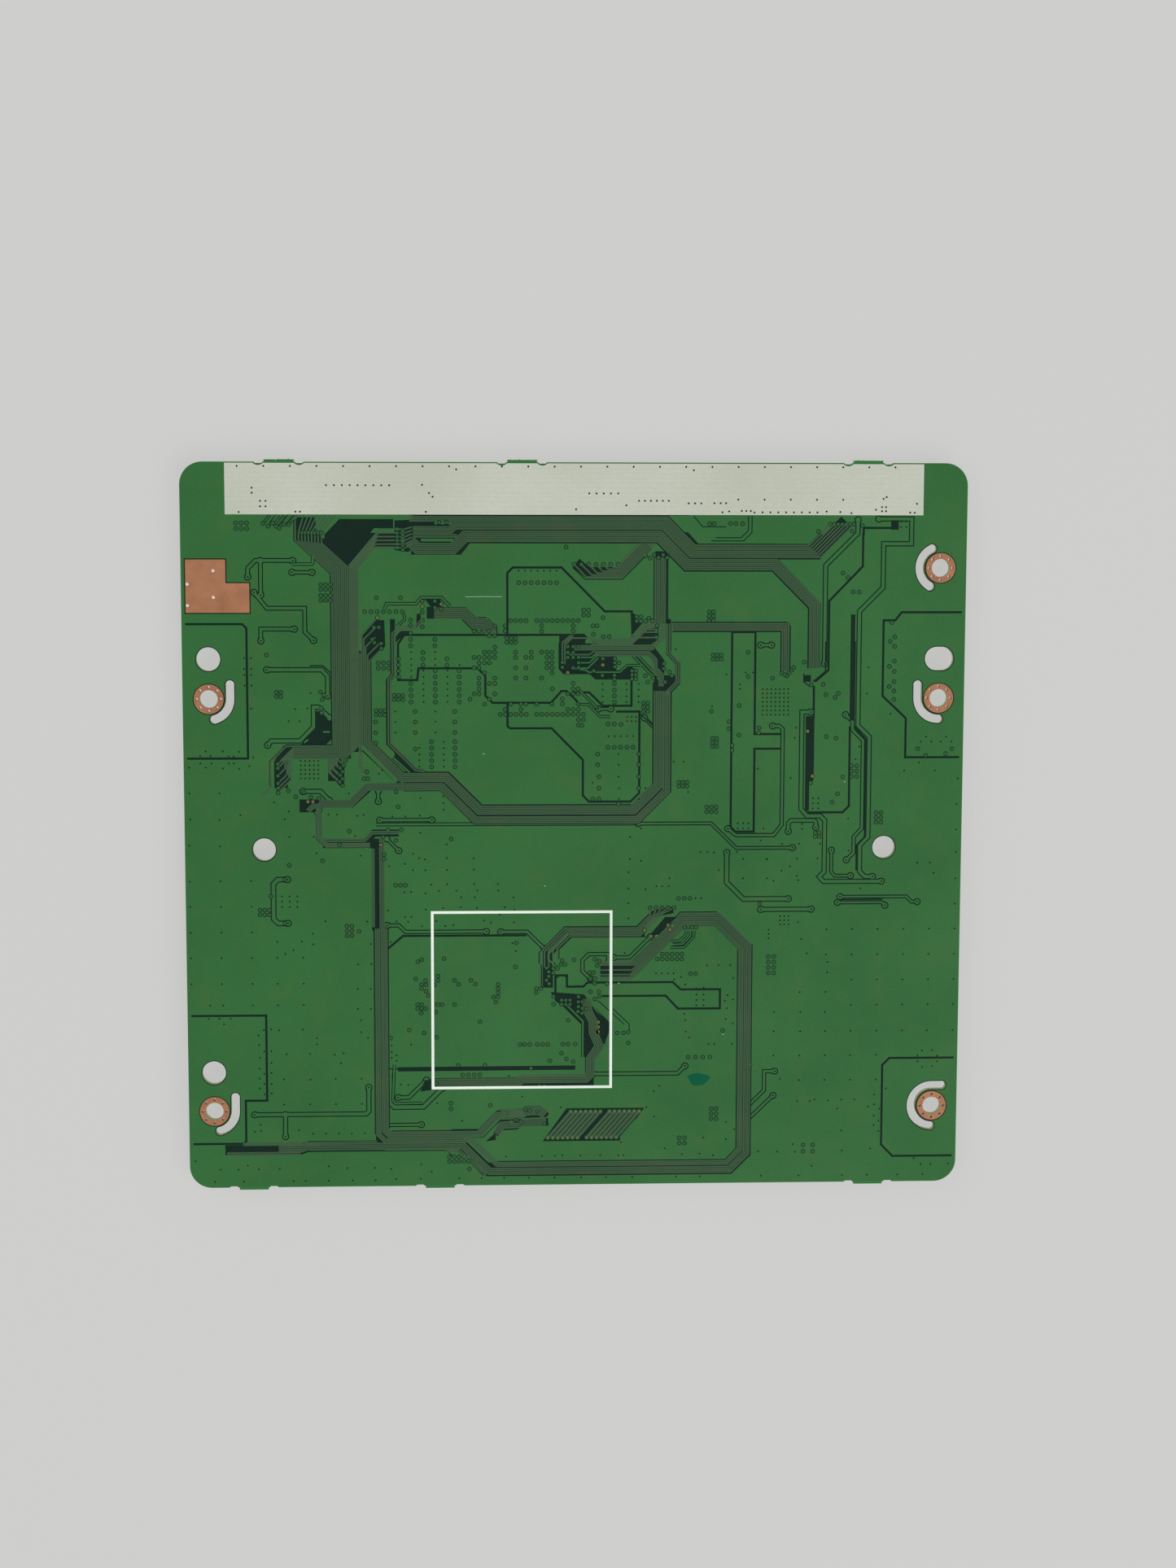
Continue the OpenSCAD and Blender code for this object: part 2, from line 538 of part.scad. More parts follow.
// Shape of the laminate: the outline with every opening.
module circuit_board() {
    color([0.20, 0.42, 0.26]) translate([0, 0, seat_z]) linear_extrude(board_t) difference() {
        board_outline();
        openings(0);
        for (s = screws) translate(s[0]) land_via_holes();
    }
}

// Where no masked copper may lie: round every opening, every ring land and the bare land.
module keep_out() {
    openings(hole_margin);
    for (s = screws) translate(s[0]) circle(land_d / 2 + hole_margin);
    polygon(widened(land_points, track_gap));
}

module solder_side_copper() {
    color([0.26, 0.52, 0.31]) translate([0, 0, face_z]) linear_extrude(copper_t) difference() {
        rounded_rect(board_w - 2 * edge_margin, board_l - 2 * edge_margin, corner_r - edge_margin);
        keep_out();
        isolation_shapes();
        bus_shapes(0);
        track_shapes(track_gap);
    }
}

module track_buses() {
    color([0.33, 0.43, 0.30]) translate([0, 0, face_z]) linear_extrude(copper_t) difference() {
        bus_shapes(track_gap);
        keep_out();
    }
}

module single_tracks() {
    color([0.30, 0.52, 0.34]) translate([0, 0, face_z]) linear_extrude(copper_t) {
        difference() {
            track_shapes(0);
            bus_shapes(0);
            keep_out();
        }
        comb_tracks();
    }
}

module screw_lands() {
    color([0.80, 0.50, 0.34]) translate([0, 0, face_z]) ring_lands();
}

module component_side_lands() {
    color([0.80, 0.50, 0.34]) translate([0, 0, seat_z - copper_t]) ring_lands();
}

module bare_copper_land() {
    color([0.80, 0.50, 0.34]) translate([0, 0, face_z]) linear_extrude(copper_t) polygon(land_points);
}

module legend_strip() {
    color([0.82, 0.82, 0.77]) translate([0, 0, ink_z]) linear_extrude(ink_t) difference() {
        translate([-strip_w / 2, top_y - strip_edge - strip_l]) square([strip_w, strip_l]);
        notches(strip_edge);
    }
}

module legend_frame() {
    color([0.90, 0.90, 0.88]) translate(concat(frame_at, [ink_z])) linear_extrude(ink_t) difference() {
        square(frame_size, center = true);
        square(frame_size - 2 * frame_line, center = true);
    }
}

// Puts a component on the underside: its own z runs away from the board.
module on_board(at, turn = 0) {
    translate([at[0], at[1], seat_z]) rotate([180, 0, turn]) children();
}

module drafted_block(w, l, h) {
    intersection() {
        rotate([90, 0, 0]) translate([0, 0, -l / 2]) linear_extrude(l) polygon(drafted(w, h));
        rotate([90, 0, 90]) translate([0, 0, -w / 2]) linear_extrude(w) polygon(drafted(l, h));
    }
}

// A ball grid package: a flat substrate with a moulded cap.
module grid_package(w, l, h) {
    translate([-w / 2, -l / 2, ball_h]) cube([w, l, substrate_t]);
    translate([0, 0, ball_h + substrate_t]) drafted_block(w - 2 * cap_inset, l - 2 * cap_inset, h - substrate_t);
}

// The outer row of a package's solder balls.
module edge_balls(w, l) {
    nx = floor((w - 2 * ball_pitch) / ball_pitch / 2);
    ny = floor((l - 2 * ball_pitch) / ball_pitch / 2);
    for (i = [-nx:nx], j = [-ny:ny]) if (abs(i) == nx || abs(j) == ny)
        translate([i * ball_pitch, j * ball_pitch, 0]) cylinder(d = ball_d, h = ball_h, $fn = 6);
}

module timing_controller() {
    color([0.13, 0.13, 0.14]) on_board(frame_at) grid_package(controller_w, controller_w, package_h);
}

module timing_controller_balls() {
    color([0.75, 0.75, 0.77]) on_board(frame_at) edge_balls(controller_w, controller_w);
}

module image_processor() {
    color([0.13, 0.13, 0.14]) on_board(processor_at) grid_package(processor_w, processor_w, package_h);
}

module image_processor_balls() {
    color([0.75, 0.75, 0.77]) on_board(processor_at) edge_balls(processor_w, processor_w);
}

module memory_chip(i) {
    color([0.11, 0.11, 0.12]) on_board(memory_at[i]) translate([0, 0, ball_h])
        drafted_block(memory_w, memory_l, memory_h);
}

module memory_balls() {
    color([0.75, 0.75, 0.77]) for (at = memory_at) on_board(at) edge_balls(memory_w, memory_l);
}

module leadless(at, w) {
    color([0.12, 0.12, 0.13]) on_board(at) drafted_block(w, w, leadless_h);
}

module power_manager() {
    leadless(power_manager_at, power_manager_w);
}

module level_shifter() {
    leadless(level_shifter_at, level_shifter_w);
}

module gamma_buffer() {
    leadless(gamma_buffer_at, gamma_buffer_w);
}

module right_step_down_converter() {
    leadless(right_converter_at, right_converter_w);
}

// A leaded body stands one lead thickness above the board.
module leaded_body(at, size) {
    color([0.12, 0.12, 0.13]) on_board(at) translate([0, 0, lead_t]) drafted_block(size[0], size[1], leaded_h);
}

module left_step_down_converter() {
    leaded_body(left_converter_at, left_converter_size);
}

module flash_memory() {
    leaded_body(flash_at, flash_size);
}

module settings_memory() {
    leaded_body(settings_at, settings_size);
}

// One gull-wing lead: foot on the board, riser, and shoulder at half the body's height.
module gull_lead(rise) {
    translate([-lead_w / 2, 0, 0]) {
        translate([0, lead_reach - lead_foot, 0]) cube([lead_w, lead_foot, lead_t]);
        translate([0, lead_reach - lead_foot, 0]) cube([lead_w, lead_t, rise + lead_t]);
        translate([0, 0, rise]) cube([lead_w, lead_reach - lead_foot + lead_t, lead_t]);
    }
}

// Rows of leads along the two long sides of a leaded body.
module lead_rows(at, size) {
    on_board(at) for (turn = [0, 180], i = [0:leads_per_side - 1]) rotate(turn)
        translate([(i - (leads_per_side - 1) / 2) * lead_pitch, size[1] / 2, 0]) gull_lead(leaded_h / 2);
}

// A flat lead under each end of a diode, and three or two feet beside a transistor.
module diode_leads(at) {
    on_board(at) for (turn = [0, 180]) rotate(turn)
        translate([diode_size[0] / 2 - lead_reach, -lead_foot, 0]) cube([2 * lead_reach, 2 * lead_foot, lead_t]);
}

module transistor_leads(at) {
    on_board(at) {
        for (i = [-1, 1]) translate([i * transistor_size[0] / 3, transistor_size[1] / 2, 0]) flat_foot();
        translate([0, -transistor_size[1] / 2, 0]) rotate(180) flat_foot();
    }
}

module flat_foot() {
    translate([-lead_w / 2, -lead_foot / 2, 0]) cube([lead_w, 1.5 * lead_foot, lead_t]);
}

module package_leads() {
    color([0.72, 0.72, 0.74]) {
        lead_rows(left_converter_at, left_converter_size);
        lead_rows(flash_at, flash_size);
        lead_rows(settings_at, settings_size);
        for (at = diode_at) diode_leads(at);
        for (at = transistor_at) transistor_leads(at);
    }
}

module crystal() {
    color([0.70, 0.70, 0.68]) on_board(crystal_at)
        drafted_block(crystal_size[0], crystal_size[1], crystal_size[2]);
}

module rectifier_diodes() {
    color([0.14, 0.14, 0.15]) for (at = diode_at) on_board(at) translate([0, 0, lead_t])
        drafted_block(diode_size[0], diode_size[1], diode_size[2]);
}

module switching_transistors() {
    color([0.14, 0.14, 0.15]) for (at = transistor_at) on_board(at) translate([0, 0, lead_t])
        drafted_block(transistor_size[0], transistor_size[1], transistor_size[2]);
}

// Power inductors: a base on the board, a drum core with its winding, and a shield with cut corners.
module inductor_bases() {
    color([0.16, 0.16, 0.17]) for (at = inductor_at) on_board(at)
        translate([-inductor_w / 2, -inductor_w / 2, 0]) cube([inductor_w, inductor_w, inductor_base_t]);
}

module inductor_terminals() {
    color([0.75, 0.75, 0.77]) for (at = inductor_at, turn = [0, 180]) on_board(at, turn)
        translate([inductor_w / 2, -inductor_w / 6, 0]) cube([sheet_t, inductor_w / 3, 2 * inductor_base_t]);
}

module inductor_shields() {
    shield_h = inductor_h - inductor_base_t - flange_t / 4;
    color([0.30, 0.30, 0.31]) for (at = inductor_at) on_board(at) translate([0, 0, inductor_base_t])
        linear_extrude(shield_h) difference() {
            intersection() {
                square(inductor_w, center = true);
                rotate(45) square(1.28 * inductor_w, center = true);
            }
            circle(drum_d / 2 + drum_clearance);
        }
}

module inductor_cores() {
    drum_h = inductor_h - inductor_base_t;
    waist = drum_d / 4;
    color([0.24, 0.24, 0.25]) for (at = inductor_at) on_board(at) translate([0, 0, inductor_base_t])
        rotate_extrude() {
            square([waist, drum_h]);
            square([drum_d / 2, flange_t]);
            translate([0, drum_h - flange_t]) square([drum_d / 2, flange_t]);
        }
}

module inductor_windings() {
    winding_h = inductor_h - inductor_base_t - 2 * flange_t;
    color([0.72, 0.42, 0.22]) for (at = inductor_at) on_board(at)
        translate([0, 0, inductor_base_t + flange_t]) rotate_extrude()
            translate([drum_d / 4, 0]) square([drum_d / 4 - drum_clearance, winding_h]);
}

// The middle of a chip part, between its two end terminals.
module chip_middle(place, size) {
    l = size[0] * (1 - 2 * end_share);
    on_board(place, place[2]) translate([-l / 2, -size[1] / 2, 0]) cube([l, size[1], size[2]]);
}

module chip_ends(place, size) {
    l = size[0] * end_share;
    on_board(place, place[2]) for (turn = [0, 180]) rotate(turn)
        translate([size[0] / 2 - l, -size[1] / 2, 0]) cube([l, size[1], size[2]]);
}

module bulk_capacitors() {
    color([0.62, 0.50, 0.38]) for (place = large_caps) chip_middle(place, large_chip);
}

module ceramic_capacitors() {
    color([0.66, 0.54, 0.42]) for (place = capacitors) chip_middle(place, tiny_chip);
}

module chip_resistors() {
    color([0.10, 0.10, 0.11]) for (place = resistors) chip_middle(place, small_chip);
}

module ferrite_beads() {
    color([0.22, 0.22, 0.23]) for (place = beads) chip_middle(place, small_chip);
}

module input_fuse() {
    color([0.80, 0.80, 0.78]) chip_middle(concat(fuse_at, [0]), large_chip);
}

module bulk_capacitor_terminals() {
    color([0.78, 0.78, 0.80]) for (place = large_caps) chip_ends(place, large_chip);
}

module chip_terminals() {
    color([0.78, 0.78, 0.80]) {
        for (place = capacitors) chip_ends(place, tiny_chip);
        for (place = concat(resistors, beads)) chip_ends(place, small_chip);
        chip_ends(concat(fuse_at, [0]), large_chip);
    }
}

// Receptacles: their own y runs into the board from the mouth, towards the contact tails.
module panel_place(i) {
    translate([panel_conn_x[i], top_y - conn_edge, seat_z]) rotate([180, 0, 0]) children();
}

module signal_place() {
    translate([input_conn_x, -top_y + conn_edge, seat_z]) rotate([180, 0, 180]) children();
}

// A moulded housing, open at the mouth and raised over the contacts at the back.
module housing(w) {
    difference() {
        translate([-w / 2, 0, 0]) cube([w, conn_depth, conn_h]);
        translate([-w / 2 + conn_wall, -past, -past])
            cube([w - 2 * conn_wall, conn_depth - conn_wall + past, conn_h - conn_wall + past]);
        translate([-w / 2 + conn_wall, 0, -past])
            cube([w - 2 * conn_wall, conn_depth + past, past + contact_t]);
    }
}

// A row of flat contacts that lie on the board from the mouth to the soldered tails.
module contacts(w) {
    n = floor((w - 2 * conn_wall) / contact_pitch / 2) - 1;
    for (i = [-n:n]) translate([i * contact_pitch - contact_w / 2, conn_wall, 0])
        cube([contact_w, conn_depth - conn_wall + tail_l, contact_t]);
}

// Sheet angles soldered to the board at both ends of a housing.
module hold_downs(w, offset) {
    for (turn = [0, 1]) mirror([turn, 0, 0]) translate([w / 2 + offset, conn_depth / 3, 0]) {
        cube([3 * conn_wall, conn_depth / 3, sheet_t]);
        cube([sheet_t, conn_depth / 3, conn_h / 2]);
    }
}

module panel_receptacle(i) {
    color([0.86, 0.84, 0.78]) panel_place(i) housing(panel_conn_w);
}

module panel_contacts(i) {
    color([0.80, 0.66, 0.36]) panel_place(i) contacts(panel_conn_w);
}

module signal_receptacle() {
    color([0.86, 0.84, 0.78]) signal_place() housing(input_conn_w);
}

module signal_contacts() {
    color([0.80, 0.66, 0.36]) signal_place() contacts(input_conn_w);
}

// A folded sheet cover over the top and both ends of the signal receptacle.
module signal_shell() {
    w = input_conn_w + 2 * sheet_t;
    color([0.74, 0.74, 0.76]) signal_place() difference() {
        translate([-w / 2, 0, 0]) cube([w, conn_depth, conn_h + sheet_t]);
        translate([-input_conn_w / 2, -past, -past])
            cube([input_conn_w, conn_depth + 2 * past, conn_h + past]);
    }
}

module receptacle_hold_downs() {
    color([0.74, 0.74, 0.76]) {
        for (i = [0:3]) panel_place(i) hold_downs(panel_conn_w, 0);
        signal_place() hold_downs(input_conn_w, sheet_t);
    }
}

circuit_board();
solder_side_copper();
track_buses();
single_tracks();
screw_lands();
bare_copper_land();
legend_strip();
legend_frame();
component_side_lands();
timing_controller();
timing_controller_balls();
image_processor();
image_processor_balls();
memory_chip(0);  // memory_chip_1
memory_chip(1);  // memory_chip_2
memory_chip(2);  // memory_chip_3
memory_chip(3);  // memory_chip_4
memory_balls();
power_manager();
level_shifter();
gamma_buffer();
left_step_down_converter();
right_step_down_converter();
flash_memory();
settings_memory();
package_leads();
crystal();
inductor_bases();
inductor_terminals();
inductor_shields();
inductor_cores();
inductor_windings();
rectifier_diodes();
switching_transistors();
bulk_capacitors();
bulk_capacitor_terminals();
ceramic_capacitors();
chip_resistors();
ferrite_beads();
input_fuse();
chip_terminals();
panel_receptacle(0);  // panel_receptacle_1
panel_receptacle(1);  // panel_receptacle_2
panel_receptacle(2);  // panel_receptacle_3
panel_receptacle(3);  // panel_receptacle_4
panel_contacts(0);  // panel_contacts_1
panel_contacts(1);  // panel_contacts_2
panel_contacts(2);  // panel_contacts_3
panel_contacts(3);  // panel_contacts_4
signal_receptacle();
signal_shell();
signal_contacts();
receptacle_hold_downs();
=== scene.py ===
import math
import random

import bmesh
import bpy
from mathutils import Matrix, Vector


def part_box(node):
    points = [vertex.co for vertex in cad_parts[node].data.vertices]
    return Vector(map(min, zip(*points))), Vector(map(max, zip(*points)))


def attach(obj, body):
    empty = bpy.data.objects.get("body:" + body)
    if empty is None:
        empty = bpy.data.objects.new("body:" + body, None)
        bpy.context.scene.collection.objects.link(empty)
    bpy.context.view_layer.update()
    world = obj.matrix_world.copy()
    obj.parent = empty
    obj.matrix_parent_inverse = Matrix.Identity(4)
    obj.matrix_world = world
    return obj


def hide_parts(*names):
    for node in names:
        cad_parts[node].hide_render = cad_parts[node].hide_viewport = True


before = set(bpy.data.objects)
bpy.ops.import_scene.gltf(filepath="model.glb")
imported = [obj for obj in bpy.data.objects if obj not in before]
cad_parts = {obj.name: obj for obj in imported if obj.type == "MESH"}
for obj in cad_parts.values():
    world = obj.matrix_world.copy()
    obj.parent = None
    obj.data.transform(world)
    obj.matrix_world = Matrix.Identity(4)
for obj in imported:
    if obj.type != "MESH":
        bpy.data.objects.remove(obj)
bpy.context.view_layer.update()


# The laminate: a 1.6 mm glass-cloth board, routed out of its panel. Green mask covers both faces, and the cut
# edges show pale glass and resin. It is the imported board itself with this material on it.
def srgb(*colour):
    """Linear colour of a screen colour given as 0 to 255."""
    return tuple(c / 255 / 12.92 if c < 11 else ((c / 255 + 0.055) / 1.055) ** 2.4 for c in colour) + (1,)


def put(tree, socket, value):
    """Links a socket to another one, or sets it to a value."""
    if isinstance(value, bpy.types.NodeSocket):
        tree.links.new(value, socket)
    else:
        socket.default_value = value


def add(tree, kind, settings=(), **inputs):
    """Adds a shader node, with some of its settings and inputs."""
    made = tree.nodes.new("ShaderNode" + kind)
    for name, value in dict(settings).items():
        setattr(made, name, value)
    for name, value in inputs.items():
        put(tree, made.inputs[name.replace("_", " ")], value)
    return made


def reckon(tree, kind, operation, *values):
    """Results of a Math or VectorMath node."""
    made = add(tree, kind, {"operation": operation})
    for socket, value in zip(made.inputs, values):
        put(tree, socket, value)
    return made.outputs


def mix(tree, share, first, second):
    """Colour between two colours."""
    made = add(tree, "Mix", {"data_type": "RGBA"})
    for index, value in ((0, share), (6, first), (7, second)):
        put(tree, made.inputs[index], value)
    return made.outputs[2]


def spread(tree, value, low, high, start=0.0, end=1.0):
    """Stretches a value from low..high to start..end."""
    return add(tree, "MapRange", Value=value, From_Min=low, From_Max=high, To_Min=start, To_Max=end).outputs[0]


def noise(tree, place, scale, detail):
    return add(tree, "TexNoise", Vector=place, Scale=scale, Detail=detail).outputs[0]


def bands(tree, place, along, scale, distortion, detail=1.0):
    """Light and dark bands that follow each other along an axis."""
    return add(tree, "TexWave", {"bands_direction": along}, Vector=place, Scale=scale, Distortion=distortion,
               Detail=detail).outputs[1]


def new_group(name, *colours):
    """A shader node group: its tree, the colours given to it, and the place on the object in metres."""
    tree = bpy.data.node_groups.new(name, "ShaderNodeTree")
    for colour in colours:
        tree.interface.new_socket(name=colour, in_out="INPUT", socket_type="NodeSocketColor")
    for result, kind in (("Colour", "Color"), ("Roughness", "Float"), ("Height", "Float")):
        tree.interface.new_socket(name=result, in_out="OUTPUT", socket_type="NodeSocket" + kind)
    return tree, tree.nodes.new("NodeGroupInput").outputs, add(tree, "TexCoord").outputs["Object"]


def give(tree, **results):
    """Links the results of a group."""
    out = tree.nodes.new("NodeGroupOutput")
    for name, value in results.items():
        tree.links.new(value, out.inputs[name])


# Solder mask: cloudy in large patches, yellower in places, with the weave of the glass cloth faintly printed through.
mask_group, given, place = new_group("solder mask", "Body", "Shade", "Tint")
clouds = spread(mask_group, noise(mask_group, place, 42, 3), 0.3, 0.7)
grain = spread(mask_group, noise(mask_group, place, 1900, 3), 0.28, 0.72)
stains = spread(mask_group, noise(mask_group, place, 150, 4), 0.5, 0.8)
warp, weft = bands(mask_group, place, "X", 440, 1.2), bands(mask_group, place, "Y", 380, 1.2)
weave = reckon(mask_group, "Math", "MULTIPLY", warp, weft)[0]
tone = given["Body"]
veils = ((clouds, 0.4, "Shade"), (grain, 0.3, "Shade"), (weave, 0.12, "Tint"), (stains, 0.35, "Tint"))
for pattern, most, over in veils:
    tone = mix(mask_group, spread(mask_group, pattern, 0, 1, 0, most), tone, given[over])
give(mask_group, Colour=tone, Roughness=spread(mask_group, clouds, 0, 1, 0.42, 0.56),
     Height=mix(mask_group, 0.3, grain, weave))


def use_group(tree, group, colours):
    """Results of a group in a material, with its colours set."""
    made = tree.nodes.new("ShaderNodeGroup")
    made.node_tree = group
    for colour, value in colours.items():
        made.inputs[colour].default_value = srgb(*value)
    return made.outputs


def new_material(name, group, depth, specular, metal=0.0, **colours):
    """A material whose colour, roughness and fine relief come from a group; depth is the relief in mm."""
    material = bpy.data.materials.new(name)
    material.use_nodes = True
    tree = material.node_tree
    surface = use_group(tree, group, colours)
    bump = add(tree, "Bump", Height=surface["Height"], Strength=0.5, Distance=depth / 1000)
    for socket, value in (("Base Color", surface["Colour"]), ("Roughness", surface["Roughness"]),
                          ("Normal", bump.outputs[0]), ("Specular IOR Level", specular), ("Metallic", metal)):
        put(tree, tree.nodes["Principled BSDF"].inputs[socket], value)
    return material


def dress(material, *names):
    """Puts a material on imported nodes."""
    for name in names:
        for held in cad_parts[name].material_slots:
            held.material = material


# The upper face is dark mask on bare laminate, with a green rim outside the pour; the lower face is green all over.
dark_tones = {"Body": (14, 40, 30), "Shade": (8, 28, 22), "Tint": (26, 46, 28)}
corner_centre, rim_start, rim_end = (0.082, 0.0765, 1), 0.00466, 0.0047
laminate = new_material("mask on laminate", mask_group, 0.02, 0.08, **dark_tones)
tree = laminate.node_tree
base = tree.nodes["Principled BSDF"].inputs["Base Color"]
facing = add(tree, "SeparateXYZ", Vector=add(tree, "NewGeometry").outputs["True Normal"]).outputs["Z"]
place = add(tree, "TexCoord").outputs["Object"]
glass = mix(tree, bands(tree, place, "Z", 1300, 3.0, 2.0), srgb(150, 168, 118), srgb(186, 190, 150))
inward = reckon(tree, "VectorMath", "ABSOLUTE", place)[0]
past = reckon(tree, "VectorMath", "SUBTRACT", inward, corner_centre)[0]
reach = reckon(tree, "VectorMath", "LENGTH", reckon(tree, "VectorMath", "MAXIMUM", past)[0])["Value"]
masked = mix(tree, spread(tree, reach, rim_start, rim_end), base.links[0].from_socket, srgb(52, 112, 58))
below = use_group(tree, mask_group, {"Body": (44, 102, 50), "Shade": (34, 84, 43), "Tint": (66, 100, 44)})
masked = mix(tree, spread(tree, facing, -0.6, -0.4, 1.0, 0.0), masked, below["Colour"])
upright = reckon(tree, "Math", "ABSOLUTE", facing)[0]
put(tree, base, mix(tree, spread(tree, upright, 0.4, 0.6), glass, masked))
dress(laminate, "circuit_board")


# The copper pour: the large areas of copper under green mask that fill the solder side between the isolation
# gaps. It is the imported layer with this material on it.
mask_on_copper = new_material("mask on copper", mask_group, 0.012, 0.15,
                              Body=(48, 108, 54), Shade=(38, 90, 47), Tint=(72, 106, 48))
dress(mask_on_copper, "solder_side_copper")


# Ribbons of tracks: fine copper tracks side by side under the mask, each drawn out along its route from bend to
# bend, and the slanted tracks of the comb. They stand in the windows that the pour leaves for them and a hair above
# it where they fan out to vias.
MM = 0.001
FACE = 5.6
POUR_TOP = 5.65
TRACK_TOP = 5.66


def shifted(points, across):
    """The route moved sideways, with mitred bends."""
    path = [Vector(point) for point in points]
    last = len(path) - 1
    moved = []
    for i, point in enumerate(path):
        ahead = (path[min(i + 1, last)] - path[min(i + 1, last) - 1]).normalized()
        behind = (path[max(i, 1)] - path[max(i, 1) - 1]).normalized()
        moved.append(point + (ahead.orthogonal() + behind.orthogonal()) * across / (1 + ahead.dot(behind)))
    return moved


def hair(k, step, turns):
    """A tiny height for the k-th of many thin plates, so that no two that overlap share a face."""
    return step * (k % turns)


def move(mesh, *vec):
    bmesh.ops.translate(mesh, vec=vec, verts=mesh.verts)


def thicken(mesh, height):
    """Closes a flat shape into a plate."""
    raised = bmesh.ops.extrude_face_region(mesh, geom=mesh.faces[:])["geom"]
    bmesh.ops.translate(mesh, vec=(0, 0, height), verts=[g for g in raised if isinstance(g, bmesh.types.BMVert)])


def gather(whole, shape):
    """Adds a finished shape to a piece."""
    passing = bpy.data.meshes.new("passing")
    shape.to_mesh(passing)
    shape.free()
    whole.from_mesh(passing)
    bpy.data.meshes.remove(passing)


def lay_track(whole, points, width, low, high):
    """Adds a flat track from height low to height high: an edge across its start, drawn out from bend to bend."""
    mesh = bmesh.new()
    left, right = shifted(points, width / 2), shifted(points, -width / 2)
    first = mesh.verts.new((*left[0], low))
    edge = mesh.edges.new((first, mesh.verts.new((*right[0], low))))
    for there in zip(left[1:], right[1:]):
        drawn = bmesh.ops.extrude_edge_only(mesh, edges=[edge])["geom"]
        edge = next(g for g in drawn if isinstance(g, bmesh.types.BMEdge))
        ends = sorted(edge.verts, key=lambda v: (v.co - first.co).length)
        for vert, spot in zip(ends, there):
            vert.co = (*spot, low)
        first = ends[0]
    thicken(mesh, high - low)
    gather(whole, mesh)


def make_piece(name, mesh, slot, *materials):
    """Turns a mesh drawn in millimetres into a piece of the board."""
    bmesh.ops.recalc_face_normals(mesh, faces=mesh.faces)
    bmesh.ops.scale(mesh, vec=(MM, MM, MM), verts=mesh.verts)
    data = bpy.data.meshes.new(name)
    mesh.to_mesh(data)
    mesh.free()
    piece = bpy.data.objects.new(name, data)
    bpy.context.scene.collection.objects.link(piece)
    for material in materials:
        data.materials.append(material)
    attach(piece, "root")
    return piece


